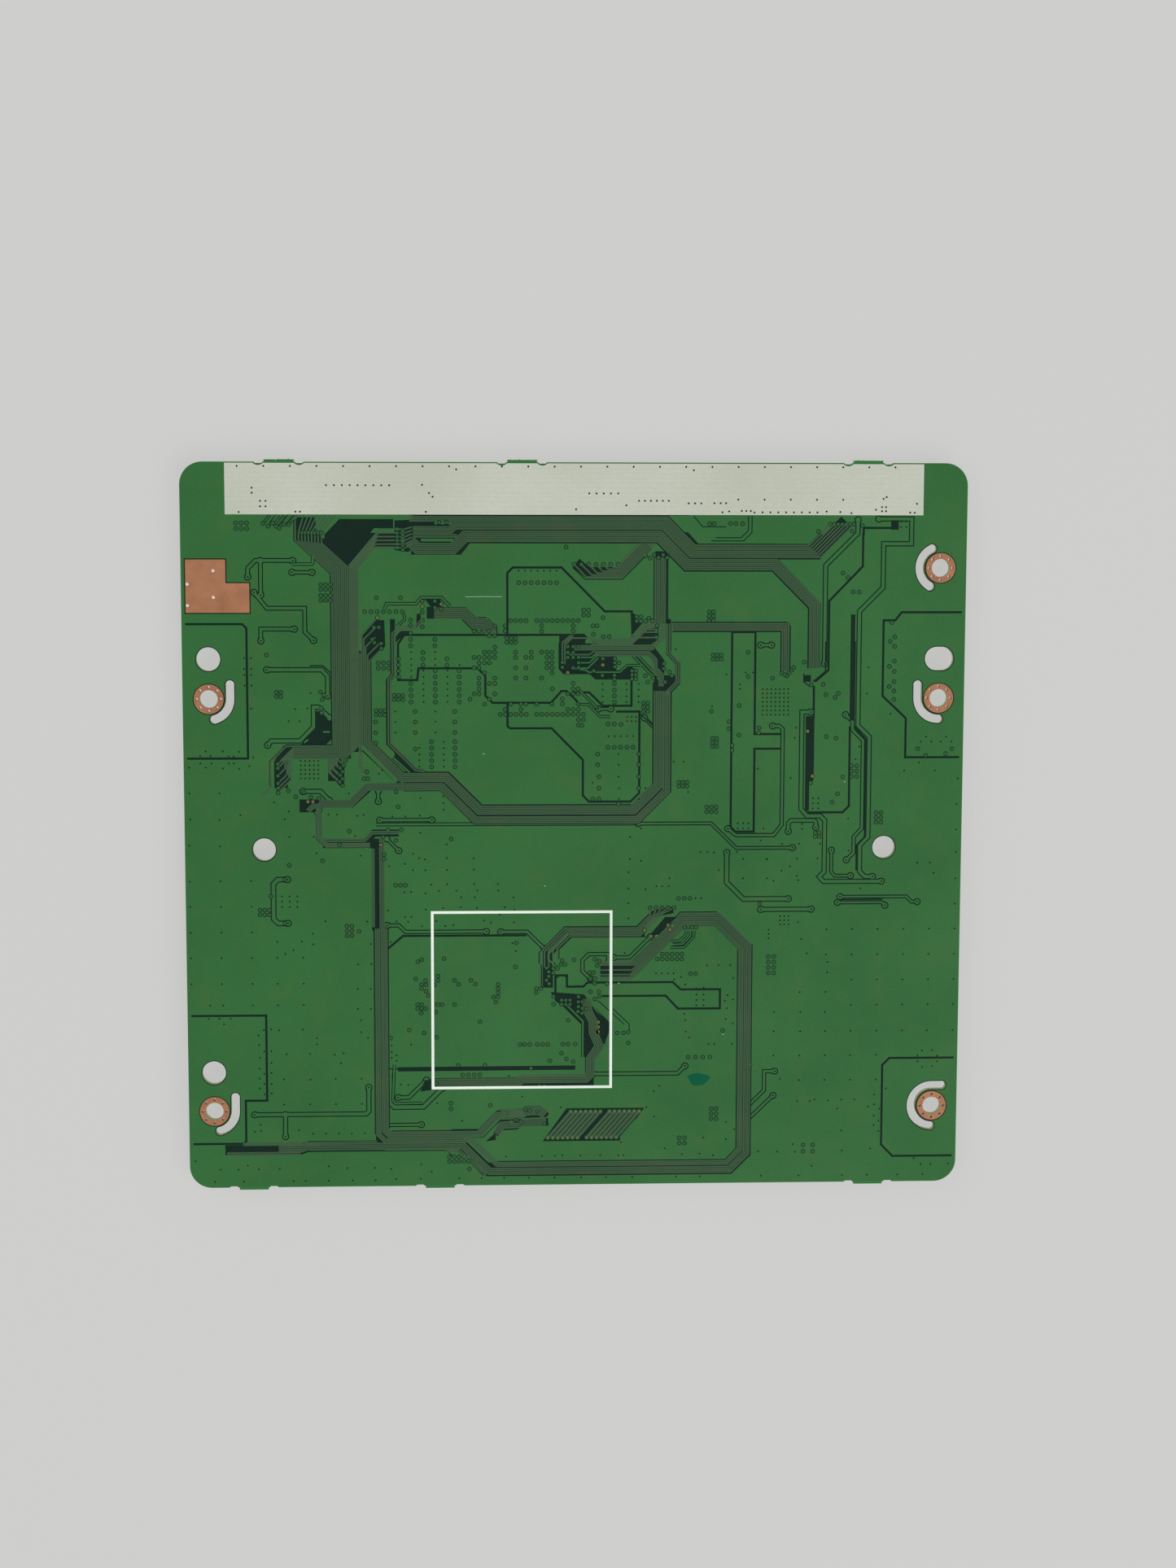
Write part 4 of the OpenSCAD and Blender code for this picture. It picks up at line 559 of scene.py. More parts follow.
ring_vias = [
    *grid(-74.8, 68.1, 1.2, 3, 2), *comb_vias, *row(-60.36, 66, 0.72, 0, 7), *row(-39.4, 66.8, 0, -0.82, 6),
    *row(-38.2, 66.4, 0, -0.82, 6), *grid(-56.3, 54.6, 1.05, 3, 2), *grid(-56.3, 52.2, 1.05, 3, 2),
    *row(-12.7, 55.05, 1.4, 0, 7), *row(-14.5, 46.65, 1.15, 0, 4), *row(-8.7, 46.65, 1.15, 0, 9),
    *row(-0.45, 59.1, 1.625, 0, 7), (-2.2, 62.9), (-7.6, 45.5), (-7.6, 44.3), (-0.6, 45.5), (-0.6, 44.4),
    (-15.7, 45.5), (-15.7, 44.4), *grid(-15.3, 42.8, 0.95, 3, 2), (-44.1, 51.7), (-38.8, 51.7),
    *row(-46.7, 48.65, 1.38, 0, 7), (-36.6, 46.8), (-36.6, 45.6), *row(-22.6, 44.35, 1.13, 0, 4), (-34, 51),
    (-31.2, 51), (-31.2, 49.5), (-29.8, 49.2), *at_x(-34, 48.6, 46.7, 45.3), (-44.7, 45.2), (-43.6, 45.2),
    (-45.1, 42.5), (-44.6, 41.8), (-43.1, 41.6), (-43.1, 40.5), *at_x(-36.6, 43.9, 42.5, 41.1), (-31.25, 42.5),
    (-31.25, 41.1), (-18, 45.5), (-18, 43.3), (-19.2, 43.3), (-18, 40.8), (-28.6, 68.3), (-30.2, 68.3),
    *at_y(68.1, 29.6, 30.6, 34.2, 35.4, 36.9), (15.4, 61), (16.4, 60.5), (17.3, 61.2), (18.3, 60.6), (19.3, 61.2),
    (20.2, 60.6), *grid(29.65, 48.6, 0.95, 2, 3), *grid(1.7, 49, 1.1, 2, 2), (6, 47.3), (3.8, 45.5), (4.7, 45.5),
    *grid(13.5, 47.5, 0.95, 2, 2), (15.5, 46.6), (16.2, 47.2), (17, 46.6), (6.1, 43.1), (7.4, 43.1),
    *row(56.4, 68, 0.885, 0, 7), (59.4, 57.2), (60.5, 56.2), (61.7, 53), (63.1, 53), (63.6, 67.7), (61.3, 66.5),
    (53.8, 66.4), (70.5, 46.2), (71.2, 43), (70.2, 42), (71.2, 40.9), (-68.4, 39.1), (-56.6, 30.9), (-55.9, 30.2),
    (-56.2, 29.2), (-56.4, 27.3), (-56.4, 26.2), *at_x(-44.5, 24.2, 21.8, 19.5), (-63.9, 8.9), (-62.3, 7.5),
    (-58.9, 7.4), (-60.5, 8.5), (-57.2, 7.1), (-57.8, 3.9), (-56.9, 4.5), *grid(-66.3, 30.8, 0.95, 2, 2),
    *grid(-43.8, 37.3, 1.15, 3, 2), *grid(-44.3, 26.7, 0.95, 3, 2), *grid(-40.3, 30.1, 0.95, 3, 2), *fan_vias,
    (-51.2, 15.6), *at_x(-66.2, *left_vias), (-46.5, 13.1), (-47.1, 11.5), (-46.3, 11.5),
    *row(-36.6, 32.7, 0, -1.37, 4), *row(-39.3, 38.2, 0, -1.33, 4), *row(-33.9, 39.6, 0, -1.4, 3),
    *row(-28.6, 38.2, 0, -1.4, 2), *row(-31.2, 35.6, 0, -1.4, 6), *row(-25.9, 35.6, 0, -1.4, 6),
    *row(-35.7, 26.5, 0, -2.35, 3), (-35.7, 18.1), *row(-26.9, 26.5, 0, -2.35, 3), *row(-26.9, 19.7, 0, -1.4, 5),
    *row(-32.1, 19.7, 0, -1.4, 5), (-39.6, 5.2), (-40, 8.5), (-41.9, 0), (-38.9, 0),
    *at_y(39.65, -20.3, -19.2, -18, -13.4, -9.9, -7.6, -6.4, -5.3),
    *at_y(38.5, -22.6, -21.5, -20.3, -19.2, -18, -13.4, -11.1, -9.9, -6.4, -5.3),
    *at_y(37.3, -21.5, -20.3, -19.2, -6.4, -5.3), *at_y(36.2, -22.6, -21.5, -13.4, -11.1, -6.4, -5.3), (-20.3, 35.1),
    (-5.3, 35.1), *at_y(33.9, -21.5, -18, -13.4, -11.1, -7.6), *at_y(32.7, -21.5, -19.2, -18, -0.6),
    *at_y(31.5, -21.5, -5.2, -0.6, 0.5), *at_y(30.4, -22.6, -21.5, -18, -1.8, -0.6, 0.5),
    *at_y(29.2, -23.5, -19.2, -3), *at_y(28.1, -20.3, -14.5, -12.2, -11.1, -8.7, -5.3, -3, 0.5),
    *at_y(26.9, -15.7, -12.2, -1.8, -0.6, 0.6), *row(-16.8, 25.8, 1.155, 0, 6), *row(-8.7, 25.8, 1.155, 0, 9),
    (0.6, 24.6), (0.6, 23.4), (1.7, 25.8), (1.7, 24.6), (1.4, 23.3), *at_y(40.9, -1.8, -0.6, 0.6), (-1.8, 39.6),
    (-0.6, 39.6), *at_y(38.5, -1.8, -0.6, 0.6), (0.6, 37.3), (-0.6, 36.2), (0.6, 36.2), (-3, 37.4), (-3, 36.3),
    (3.9, 43.6), (18.1, 45.5), (17.9, 44.2), (17.9, 43), (6, 38.2), *at_x(8.7, 38.2, 37.3, 36.4), (9.6, 37.3),
    (4, 35.5), (5.9, 34.5), *at_x(8.6, 34.5, 33.6, 32.7, 31.2, 29.9, 28.5), *grid(12.5, 35.5, 0.9, 2, 3),
    (20.8, 35.3), (21.4, 34.4), (19.9, 33), (18.4, 33.8), (17.2, 33.8), (16, 33), (15.5, 34.4), (19.6, 37.1),
    (19.6, 36), *grid(30.6, 39, 0.9, 3, 2), *grid(15.1, 28.3, 0.95, 2, 3), *grid(30.6, 20.3, 0.9, 2, 3),
    *grid(23.1, 10.5, 0.9, 3, 2), *grid(29.4, 4.9, 1.05, 3, 2), (30.3, 26.4), (34.2, 24.1), (34.2, 22.5), (35, 18.8),
    (35, 17.7), (38.4, 39.6), (38.4, 34.2), (36.5, 27.7), (36.5, 21.1), (43.9, 33.8), (41, 22.7), (40.9, 21.6),
    (7.2, 23.6), (8.6, 23.6), (10.1, 23.5), *row(7.2, 18.4, 1.4, 0, 5), (4.9, 16.9), (4.9, 14.5),
    *at_x(5.2, 11.8, 9.2, 6.8), (3.8, 6.8), *at_x(14.1, 16.9, 14.5, 11.8, 9.2), (9.6, 5.7), (48.6, 36.2),
    (48.2, 35.6), (47.6, 35), (47.1, 34.3), (46.6, 34.6), (46, 34.9), (51, 37.4), (52.6, 32.3),
    *grid(61.9, 14.1, 1.2, 2, 3), *grid(67.6, 3.5, 1.1, 2, 3), (55.3, 32.4), (55.9, 30.1), (58.7, 30.4), (58, 29.5),
    (56.1, 20.7), (58.3, 20.3), (59.9, 11.6), (58.8, 7.8), (57.6, 5.9), (52.7, 10.3), (71.2, 37.6), (70.1, 36.4),
    (71.2, 35.3), (71.2, 33), (70.1, 31.9), (71.2, 30.9), (71.2, 29), (76.8, 17.9), (84.5, 17.9), (78.6, 16.4),
    (83.1, 16.8), (-56.5, -6.9), (-63.9, -7.9), (-50.5, -0.3), (-65, -11.1), (-68.1, -14.9), (-65, -21),
    *grid(-70.5, -18, 1.05, 3, 2), *grid(-51.2, -21.7, 1.1, 2, 3), (-48.5, -22.9), (-52.7, -3.3), (-51.3, -3.4),
    (-43, -1.6), (-40.1, -2.4), (-42.8, -5.5), (-42.8, -6.5), (-6.5, -31.5), (-6, -32.4), (-5, -31.6), (-4, -31.6),
    (-5, -32.6), (-6, -33.4), (-6.5, -34.3), (-5.9, -35.1), (-3, -29.8), (-3.2, -30.7), (-2.3, -30.7),
    *grid(-3.1, -38.9, 0.95, 3, 2), (-4.9, -38), (-4.9, -39.8), (-8.8, -36.2), (-8.8, -37.1), (-7.8, -36.2),
    (-35.4, -29.9), (-34.5, -29.4), (-29.5, -29.2), (-13.5, -31.2), (-13.3, -25.7), (-35.9, -33.8), (-33.7, -34.2),
    (-34.6, -35.1), (-33.6, -35.2), (-34.6, -36), (-33.6, -36.6), (-33.1, -37.6), (-31.7, -35.2), (-30.9, -33.2),
    (-30.9, -34.2), (-27.2, -34.2), (-26.3, -35.1), (-23.5, -34.2), (-22.5, -35.1), *row(-17.4, -35.2, 0, -0.95, 4),
    (-18.4, -38.1), (-17.9, -39.2), (-35.5, -39.7), (-34.6, -39.7), *at_y(-40.6, -35.5, -34.6, -33.7),
    *at_y(-39.7, -31.7, -30.9, -30, -27.2), (-27.8, -2.1), (-0.3, -29.7), *row(-40.3, -12.5, 1.1, 0, 3),
    *row(16.8, -17.9, 1.35, 0, 5), *row(19.6, -28.5, 1.1, 0, 5), *row(18.5, -29.6, 1.1, 0, 6), (26, -33), (27.2, -33),
    *row(23.2, -15.8, 1.3, 0, 3), *grid(43.6, -29.2, 1.25, 2, 4), *row(24.6, -22.4, 0.87, 0, 4), (41.5, -17.1),
    *grid(53.9, -1, 0.9, 2, 2), *row(-25.4, -55.9, 1.27, 0, 4), (-31.4, -57.8), (-8.2, -58.6), (-7, -58.6),
    (-21.5, -43.7), (-1.6, -43.5), (-37.4, -45.5), (-34.1, -46.2), (-31.3, -47.2), (-41.6, -47.3), (-28.1, -62.4),
    (-28.1, -63.7), (-26.4, -53.7), (-20.4, -53.7), (-10, -54.5), (-5.7, -52.8), (-2, -52.4), (-3.1, -51.1),
    (-0.5, -53), *at_y(-49, -12.5, -11.5, -10.3, -8.6, -7.4, -6.2, -2.8, -1.6, 0), (-34.7, -41.6), (-31.4, -41.4),
    (-11.3, -64), (-10.3, -64.3), (-8.6, -64.5), (-14.5, -66.8), (-13.4, -66.5), (-12.2, -66.9), (-7, -67.3),
    (-19.2, -63), *grid(-28.5, -74.8, 1.1, 5, 2), (-24, -77.7), (0.7, -38.1), (0.7, -39.3), (1.6, -39.3),
    (0.7, -40.4), (1.6, -40.8), (2.5, -40.9), (0.6, -41.5), (1.5, -41.9), (3.4, -37), (5.3, -37), (5.4, -38.1),
    (4.4, -38.7), (3.2, -32.6), (4.1, -32.6), (3.4, -34), (4.4, -34), (4.3, -35.1), (7.1, -35.2), (4.4, -29.6),
    (5.4, -30), (4.9, -31), (12, -46.3), (10.9, -46.5), (9.5, -46.5), (12, -48.8), *row(25.6, -52.2, 1.65, 0, 4),
    (33.4, -46.1), *grid(30.9, -64.2, 1.15, 2, 3), *grid(23.7, -70.9, 1.2, 2, 2), (39.7, -54),
    *grid(52, -72.8, 2.2, 2, 2, 1.5),
]
tan_vias = [
    (-59.6, 6.4), (-58.5, 6.4), (51.9, 21.9), (53.1, 11.8), (-43.5, -3.4), (20.9, -21.9), (21.8, -21.9),
    (21.3, -22.9), (17, -24.4), (18.3, -24.4), (15.6, -23), (-43.9, 47.3), (6, 36.8), (-1.8, 35.1), (-34, 49.8),
    (-29.8, 50.3), (17.9, 41.8), *at_x(5.2, -44, -45.1, -46.2),
]
via_size, via_pad, via_hole, via_depth, via_sink = 1.04, 0.68, 0.24, 0.02, 0.008
via = bmesh.new()
bmesh.ops.create_cone(via, cap_ends=True, segments=12, radius1=via_size / 2, radius2=via_size / 2, depth=via_depth)
pad = max(via.faces, key=lambda f: f.calc_center_median().z)
bmesh.ops.inset_region(via, faces=[pad], thickness=(via_size - via_pad) / 2)
bmesh.ops.inset_region(via, faces=[pad], thickness=(via_pad - via_hole) / 2)
for face in via.faces:
    if face is not pad and len([e for e in face.edges if e in pad.edges[:]]) == 1:
        face.material_index = 1
pad.material_index = 2
move(via, 0, 0, TRACK_TOP - via_sink)


def set_out(shape, places):
    """Copies of a small shape at the given places, a hair apart in height, as one mesh."""
    whole = bmesh.new()
    for k, (x, y) in enumerate(places):
        copy = shape.copy()
        move(copy, x, y, hair(k, 0.0008, 4))
        gather(whole, copy)
    return whole


drilled = new_material("drilled hole", mask_group, 0.02, 0.08, Body=(22, 40, 22), Shade=(12, 26, 16), Tint=(56, 48, 22))
tan_pad = new_material("pad with thin mask", mask_group, 0.012, 0.2,
                       Body=(116, 118, 66), Shade=(92, 104, 56), Tint=(150, 128, 72))
make_piece("ring_vias", set_out(via, ring_vias), "mask_over_copper", dark_mask, mask_on_copper, drilled)
make_piece("tan_vias", set_out(via, tan_vias), "mask_over_copper", dark_mask, tan_pad, drilled)


# Plain vias: small drilled holes closed by the mask, seen as dark specks. They stitch the pour at a steady pitch,
# stand in grids under the hot parts and mark the pads of the single tracks. Small flat discs.
plain_vias = [
    *grid(41.75, 31.35, 0.95, 7, 7), *grid(-61.1, 15.5, 0.97, 5, 5), *grid(-65.6, -14.9, 1.7, 3, 3, 1.2),
    *grid(46.15, -19.95, 0.95, 3, 3), *grid(53.3, 6.8, 1.2, 2, 3, 1.15), *grid(36.4, 1.2, 1.2, 3, 2),
    *row(-12.7, 57.7, 1.4, 0, 7), (72.2, 68.6), (73.4, 68.6), (72.2, 67.4), (73.4, 67.4),
    *[(x, y) for x in (-73.3, -71.8) for y in (38.4, 36, 34.7, 32.3)], (-71.9, 27.2), (-82.1, 17.7), (-78.3, 17.7),
    (-74.7, 17.6), (-83.3, 16.7), (-81, 16.7), (-77, 16.6), (-75.9, 16.5), *at_y(15, -83.3, -80.8, -77, -75.9),
    (-72.5, 14.4), (-71.6, 16.3), (-85.8, 14.1), (-82.1, 14.1), (-78.3, 13.9), (-74.7, 13.8), (-85.8, 8.3),
    (-79.2, 8.3), (-67.1, 6.3), (-74.6, 3.4), (-79.2, 2.4), (-85.7, 2.5), (-64.8, 2.5), (-63.9, 4.2), (-55.1, 3.5),
    (-53.2, 3.5), (-48.7, 3.2), (-47.3, 3.4), (-50.5, 8.2), (-43.1, 13.5), (-43.8, 12.6), (-63.7, 24.4),
    (-61.3, 24.4), (-62.2, 27.1), (-59.5, 27.2), (-58.8, 30.6), *at_x(-36.5, 39.7, 38.2, 36.8, 35.6, 34.2),
    *at_x(-31.2, 39.7, 38.2, 36.8, 26.5, 24.2, 21.8),
    *[(x, y) for x in (-33.8, -28.5) for y in (35.6, 34.2, 32.7, 31.4, 30, 28.6)], (-25.8, 36.8),
    *at_x(-40.1, 26.5, 24.2, 21.8), *at_x(-34.8, 18.4, 16.9, 15.6, 14.2), *at_x(-29.4, 19.7, 18.3, 16.9, 15.6, 14.2),
    (-34.6, 7.1), *at_x(-29.5, 7.5, 6, 4.5), (-34.8, 3.2), (-38, 3), (-40.9, 3), (-34.7, -0.7),
    *row(7.3, 20.9, 1.38, 0, 5), *grid(11.5, 25.2, 0.95, 3, 2),
    *[(x, y) for x in (6, 11.3, 14) for y in (32.6, 31.3, 29.8, 28.5)], (9.5, 16.9), (9.6, 14.5), (9.6, 11.8),
    (9.7, 9.2), (9.7, 6.8), (3.8, 10.5), (15.6, 9.2), (14.1, 6.8), (21.9, 15.1), (24.1, 15.1), (25.2, 8.3),
    (14.7, 0.1), (22.2, 40.3), (36.6, 32.4), (36.6, 31.4), (37.9, 35.1), (39.5, 35.1), (33.6, 34.7), (30.4, 27.5),
    (40.8, 13.5), (42.2, 0), (78.6, 20.6), (83.1, 20.6), *at_y(19.5, 77.4, 79.8, 81.9, 84.3), (77.1, 14.8),
    (73.8, 13), (80.7, 13), (85.9, 11.2), (85.8, 5.4), (85.8, -0.4), (48.2, 11.4), (49.3, 22.7), (49, 20.4),
    (61.3, 2.2), (50.9, 1), (50.9, -0.1), (65.4, 36.2), (65.1, 30.3), (70.5, 25.8), (62.8, 15.6), (63.6, 18.4),
    (-86, -3.4), (-79.2, -3.6), (-79.2, -11.4), (-72.4, -11.4), (-86, -11.5),
    *[(x, y) for x in (-86, -79.2, -72.4) for y in (-17.2, -23)],
    *[(x, y) for x in (-86, -79.2, -72.4, -66.8, -61) for y in (-28.8, -34.7)],
    *at_y(-39.6, -81.9, -79, -72.4, -66.8, -61), (-58.8, -23.4), (-58.8, -25.8), (-61.3, -25.1), (-63.2, -27.1),
    (-65, -27.9), (-66.8, -25.2), (-56, -20.6), (-46.7, -20.7), (-45.9, -25.8), (-48.8, -30.4), (-45.8, -30.4),
    (-48.9, -36), (-46, -36), (-48.9, -40.6), (-46, -40.6), (-57.8, -5.2), (-48, -5.8), (-49.2, -1.4), (-58.4, -1.5),
    (-63.8, -1.5), *at_x(-28.8, -3.3, -6.4, -9.1, -12.3), (-22.8, -6.5), (-22.8, -9), (-22.7, -12.3), (-17.4, -12.3),
    (-35, -6.4), (-33.7, -6.7), (-36.3, -5.4), (-38.2, -7.7), (-36.4, -9.1), (-33.6, -9.1), (-41.7, -8.2),
    (-32.3, -12.4), (-38.3, -14.1), (-36.8, -14), (-33.6, -14.4), *at_y(-13.8, -30.6, -26.7, -22, -17.3),
    (-25.6, -15.3), (-22.6, -15.3), (-13.9, -15.4), (-42, -18.2), (-38.2, -19.7), (-36.8, -19.7), (-33.6, -18),
    (-29.7, -17.7), (-25.7, -17.6), (-22.1, -17.8), (-15.9, -17.6), (-13.7, -18.2), (-17, -19.3), (-40.1, -20.7),
    (-37.5, -20.8), (-34.4, -21.8), (-31.2, -20.7), (-29.2, -21.8), (-27.4, -21.6), (-20.5, -20.6), (-19, -21.1),
    (-13.8, -21.1), (-14.2, -25.8), (-13.4, -27.6), (-41.4, -25.4), (12.2, -1.8), (12.2, -6.8), (14.7, -7.2),
    *at_x(11.9, -9.8, -13.5, -16.8, -20.3), (15.8, -13.7), *at_y(-13, 18.2, 19.5, 21), (21.1, -11.2), (27, -15.8),
    (28.3, -15.8), (28.1, -5.3), (29.6, -5.3), (31.1, -5.4), (36.3, -5.3), (32.2, -9.4), (37.7, -6.9), (43.1, -7),
    (37.7, -11.3), (43.1, -11.3), (41.6, -2.7), *row(18.2, -32.9, 1.33, 0, 4), (23.9, -33.8), (22.3, -34.3),
    (24.8, -35.5), *at_y(-31.1, 29.7, 32.3, 35), (35.7, -34.1), (35.7, -39), *grid(27.4, -37.8, 1.6, 2, 3, 1.25),
    (27.3, -36.4), (29, -36.2), (34.3, -41), (34.4, -38), (33.8, -39.3), *at_x(43.6, -23, -24, -25), (11.1, -28.2),
    *at_y(-3.5, 46.4, 50.3, 55), (43, -6.9), (49.8, -6.9), (54.5, -6.8), (48.3, -8.6), (46.4, -9.6), (49.8, -10.8),
    (50.2, -11.8), (44.6, -11.9), (61.5, -5.1), (64.3, -13.7), (50.2, -21.3), (51, -25.2), (52.3, -28.5), (57, -30.5),
    (57, -32.9), (50.8, -37.4), (56.7, -37.4), *grid(62.5, -23, 5.83, 5, 4, 5.8), (56.7, -23), (56.7, -28.8),
    *at_x(85.8, -5.5, -11.5, -17.3), (77.1, -7.9), (80, -7.9), (80.8, -10.3), *at_y(-42.6, -82.3, -79.9, -77.4),
    (-78.9, -43.9), (-70, -45.3), (-68.4, -45.1), (-66.6, -45.3), (-61.3, -45.2), (-71.2, -46.5), (-71.1, -48.7),
    (-68.4, -50.1), (-70, -50.2), (-71, -51.6), (-65, -50.8), (-59.7, -50.8), (-54.2, -51), (-52.2, -50.7),
    (-58.1, -48.6), (-58.1, -47.2), (-48.2, -43.2), (-48.2, -45.9), (-46.7, -47.2), (-52.8, -53), (-68.4, -52.8),
    (-71.1, -54.1), (-70, -55.3), (-68.4, -55.1), (-65.6, -56.6), (-59.7, -56.7), (-54, -56.6), (-48.2, -56.6),
    (-71.1, -56.4), (-70, -57.6), (-68.4, -57.6), (-71.1, -58.6), (-68.4, -59.8), (-70, -60),
    *at_y(-62.4, -65.7, -59.8, -54, -48.2), (-71, -67), (-72.3, -68.6), (-70.9, -68.4), (-62.4, -68.3),
    *row(-59.2, -69.2, 2.9, 0, 5), (-85.7, -75.3), (-80.1, -77.3), (-76.1, -77.3), (-74, -76.4), (-71.5, -77.3),
    (-66.8, -77.2), (-55.8, -76.7), (-51.6, -77.2), (-45.3, -77.2),
    *at_y(-80.1, -81.4, -74.9, -63.7, -61, -55.8, -50.4, -45.2), (-37, -48.8), *at_x(-41.4, -49, -50.5, -51.8),
    (-40.3, -51.3), (-40.3, -52.5), (-39.4, -58), (-37.7, -58.1), (-15, -56.2), *row(-25.3, -59.1, 1.25, 0, 5),
    (-10.6, -59), (-31.2, -62.4), (-25.6, -66.5), (-12, -61), (-3.3, -63.6), (-34.9, -76.5), (-41.7, -77.5),
    (-32.5, -78.2), *at_y(-79.85, -35, -40.6, -26.3, -21.2, -16.1, -10.5, -4.7), (-15.7, -74.9), (-7.5, -74.8),
    (-4.6, -74.8), (-2.9, -74.7), *at_y(-74.8, 1.2, 5.7, 9.8, 11), (10.4, -71.8), (16.2, -63.7), (17.9, -65.9),
    (17.8, -60), (19.1, -58.8), (24.7, -42.2), (24.9, -43.7), (25, -46.3), (25.8, -47.7),
    *at_y(-49.2, 30.2, 31.5, 35.5), (34.1, -43.5), (35.7, -44.5), (34.3, -67.3), (36.2, -69), (29.2, -70.9),
    (34.3, -71.3), (24.3, -74.7), (28.3, -74.6), (31.4, -75), (20.4, -73.3), (41.7, -74.2),
    *at_y(-79.9, 1.4, 7, 13, 23, 28.4, 42.4, 51, 61, 66.7, 73.7, 79.5), *at_y(-42, 45, 51, 56.6),
    *at_y(-46.4, 45, 51, 56.7, 62.5, 68.4, 74.2, 79.9, 85.8), *at_y(-52, 45, 50.9, 56.7, 62.5, 68.4), (46.5, -57.4),
    *at_y(-57.7, 50.9, 56.7, 62.5, 68.4), (78.9, -51.1), (81.2, -51), (77.9, -52.2), (82.4, -52.3), (77.9, -53.6),
    (82.4, -53.6), (79, -54.9), (81.3, -54.7), (70.8, -59.8), *at_x(68.1, -61.2, -63.5, -66.1, -68.3), (66.7, -64),
    (63.6, -62.3), (60.6, -62.3), (57.6, -62.5), (54.5, -62.3), (53.4, -62.6), (50.5, -62.6), (59.7, -64.4),
    (69.3, -64.5), (69.2, -67.3), (69.2, -69.7), (60.7, -69.5), (49.6, -72.6), (50.2, -74.4), (46.1, -74.3),
    (60.9, -74.2), (67.4, -73.8), (54, -77.7), (77.4, -76.1), (79, -77.5), (81.3, -77.5), (85.3, -77.4),
]
track_pads = [
    (-72.3, 56.3), (-62.4, 59.9), (-69.5, 52.3), (-71, 52.9), (-58, 42.3), (-69.6, 42.2), (-62.2, 44.8),
    (-62.6, 57.3), (-58.2, 57.3), (-68.4, 35.8), (-55, 30), (-68.4, 19), (-60.7, 8.7), (-44, 6.4), (-43.7, 2.2),
    (-32.1, 2.2), (48.8, -4.4), (55.5, 37), (67, -11), (60.4, 25.6), (61, -7.2), (52.6, 26.2), (69, -12.1),
    (44, 23.1), (34.2, 0), (54, 0.2), (47.8, -0.7), (34, -5.4), (48, -16), (41.7, -18.4), (53.2, -18.4), (57.6, -5),
    (62, -10.8), (59.7, -15.6), (77.2, -16.8), (59.1, -16.9), (69.9, -17.6), (-64.3, -11.1), (-64.3, -21),
    (-72.3, -64.7), (-46.6, -58.6), (-65.4, -69.8), (-42.2, -21.6), (-20, -23.1), (-16.8, -23.2), (-30, -58.9),
    (-40, -61), (-34.8, -67.3), (24.9, -54.2), (3.4, -34), (8.6, -29.2), (16.9, -24.5), (45, -61.2), (45.3, -55.6),
    (41.2, 41.2), (43.6, 41.2), (5, 27), (7.8, 27), (-39.5, -4.7),
]
comb_pads = [(start + comb_pitch * k + end * 5.2, -70.6 + end * 6) for start in comb_starts for k in range(7)
             for end in (0, 1)]


def flat_disc(segments, foot, head, middle):
    """A small disc with the given radii at its two faces, about the height of its middle."""
    disc = bmesh.new()
    bmesh.ops.create_cone(disc, cap_ends=True, segments=segments, radius1=foot, radius2=head, depth=via_depth)
    move(disc, 0, 0, middle)
    return disc


plain_via = flat_disc(8, foot=0.22, head=0.2, middle=TRACK_TOP - 0.009)
make_piece("plain_vias", set_out(plain_via, plain_vias + track_pads), "mask_over_copper", drilled)
make_piece("comb_pads", set_out(plain_via, comb_pads), "mask_over_copper", tan_pad)


# Bare copper: the ring lands round the screws on both faces and the angled land in the upper left, tinged by
# handling. They are packed layers with a copper material on them; the angled land's vias are filled with solder.
def grained(name, scale, dull, depth, specular, bright, stain, metal=0.0):
    """A material with a grained surface: a colour between two given ones, and roughness up to dull."""
    tree, given, place = new_group(name, "Bright", "Stain")
    clouds = spread(tree, noise(tree, place, scale, 4), 0.35, 0.7)
    grain = noise(tree, place, scale * 9, 2)
    give(tree, Colour=mix(tree, clouds, given["Bright"], given["Stain"]),
         Roughness=spread(tree, grain, 0.3, 0.7, dull - 0.14, dull), Height=grain)
    return new_material(name, tree, depth, specular, metal, Bright=bright, Stain=stain)


bare_copper = grained("bare copper", 260, 0.6, 0.01, 0.3, (172, 116, 82), (154, 102, 71), 0.2)
dress(bare_copper, "screw_lands", "component_side_lands", "bare_copper_land")
solder = grained("solder", 700, 0.42, 0.01, 0.5, (226, 226, 220), (196, 196, 190), 0.25)
fill_radius, fill_flatness, fill_middle = 0.36, 0.16, 5.645
filled_via = bmesh.new()
bmesh.ops.create_icosphere(filled_via, subdivisions=2, radius=fill_radius)
bmesh.ops.scale(filled_via, vec=(1, 1, fill_flatness), verts=filled_via.verts)
move(filled_via, 0, 0, fill_middle)
land_fills = [(-79.9, 57.65), (-79.9, 51.8), (-85.6, 54.7), (-85.6, 50)]
make_piece("filled_vias", set_out(filled_via, land_fills), "solder_tin", solder)


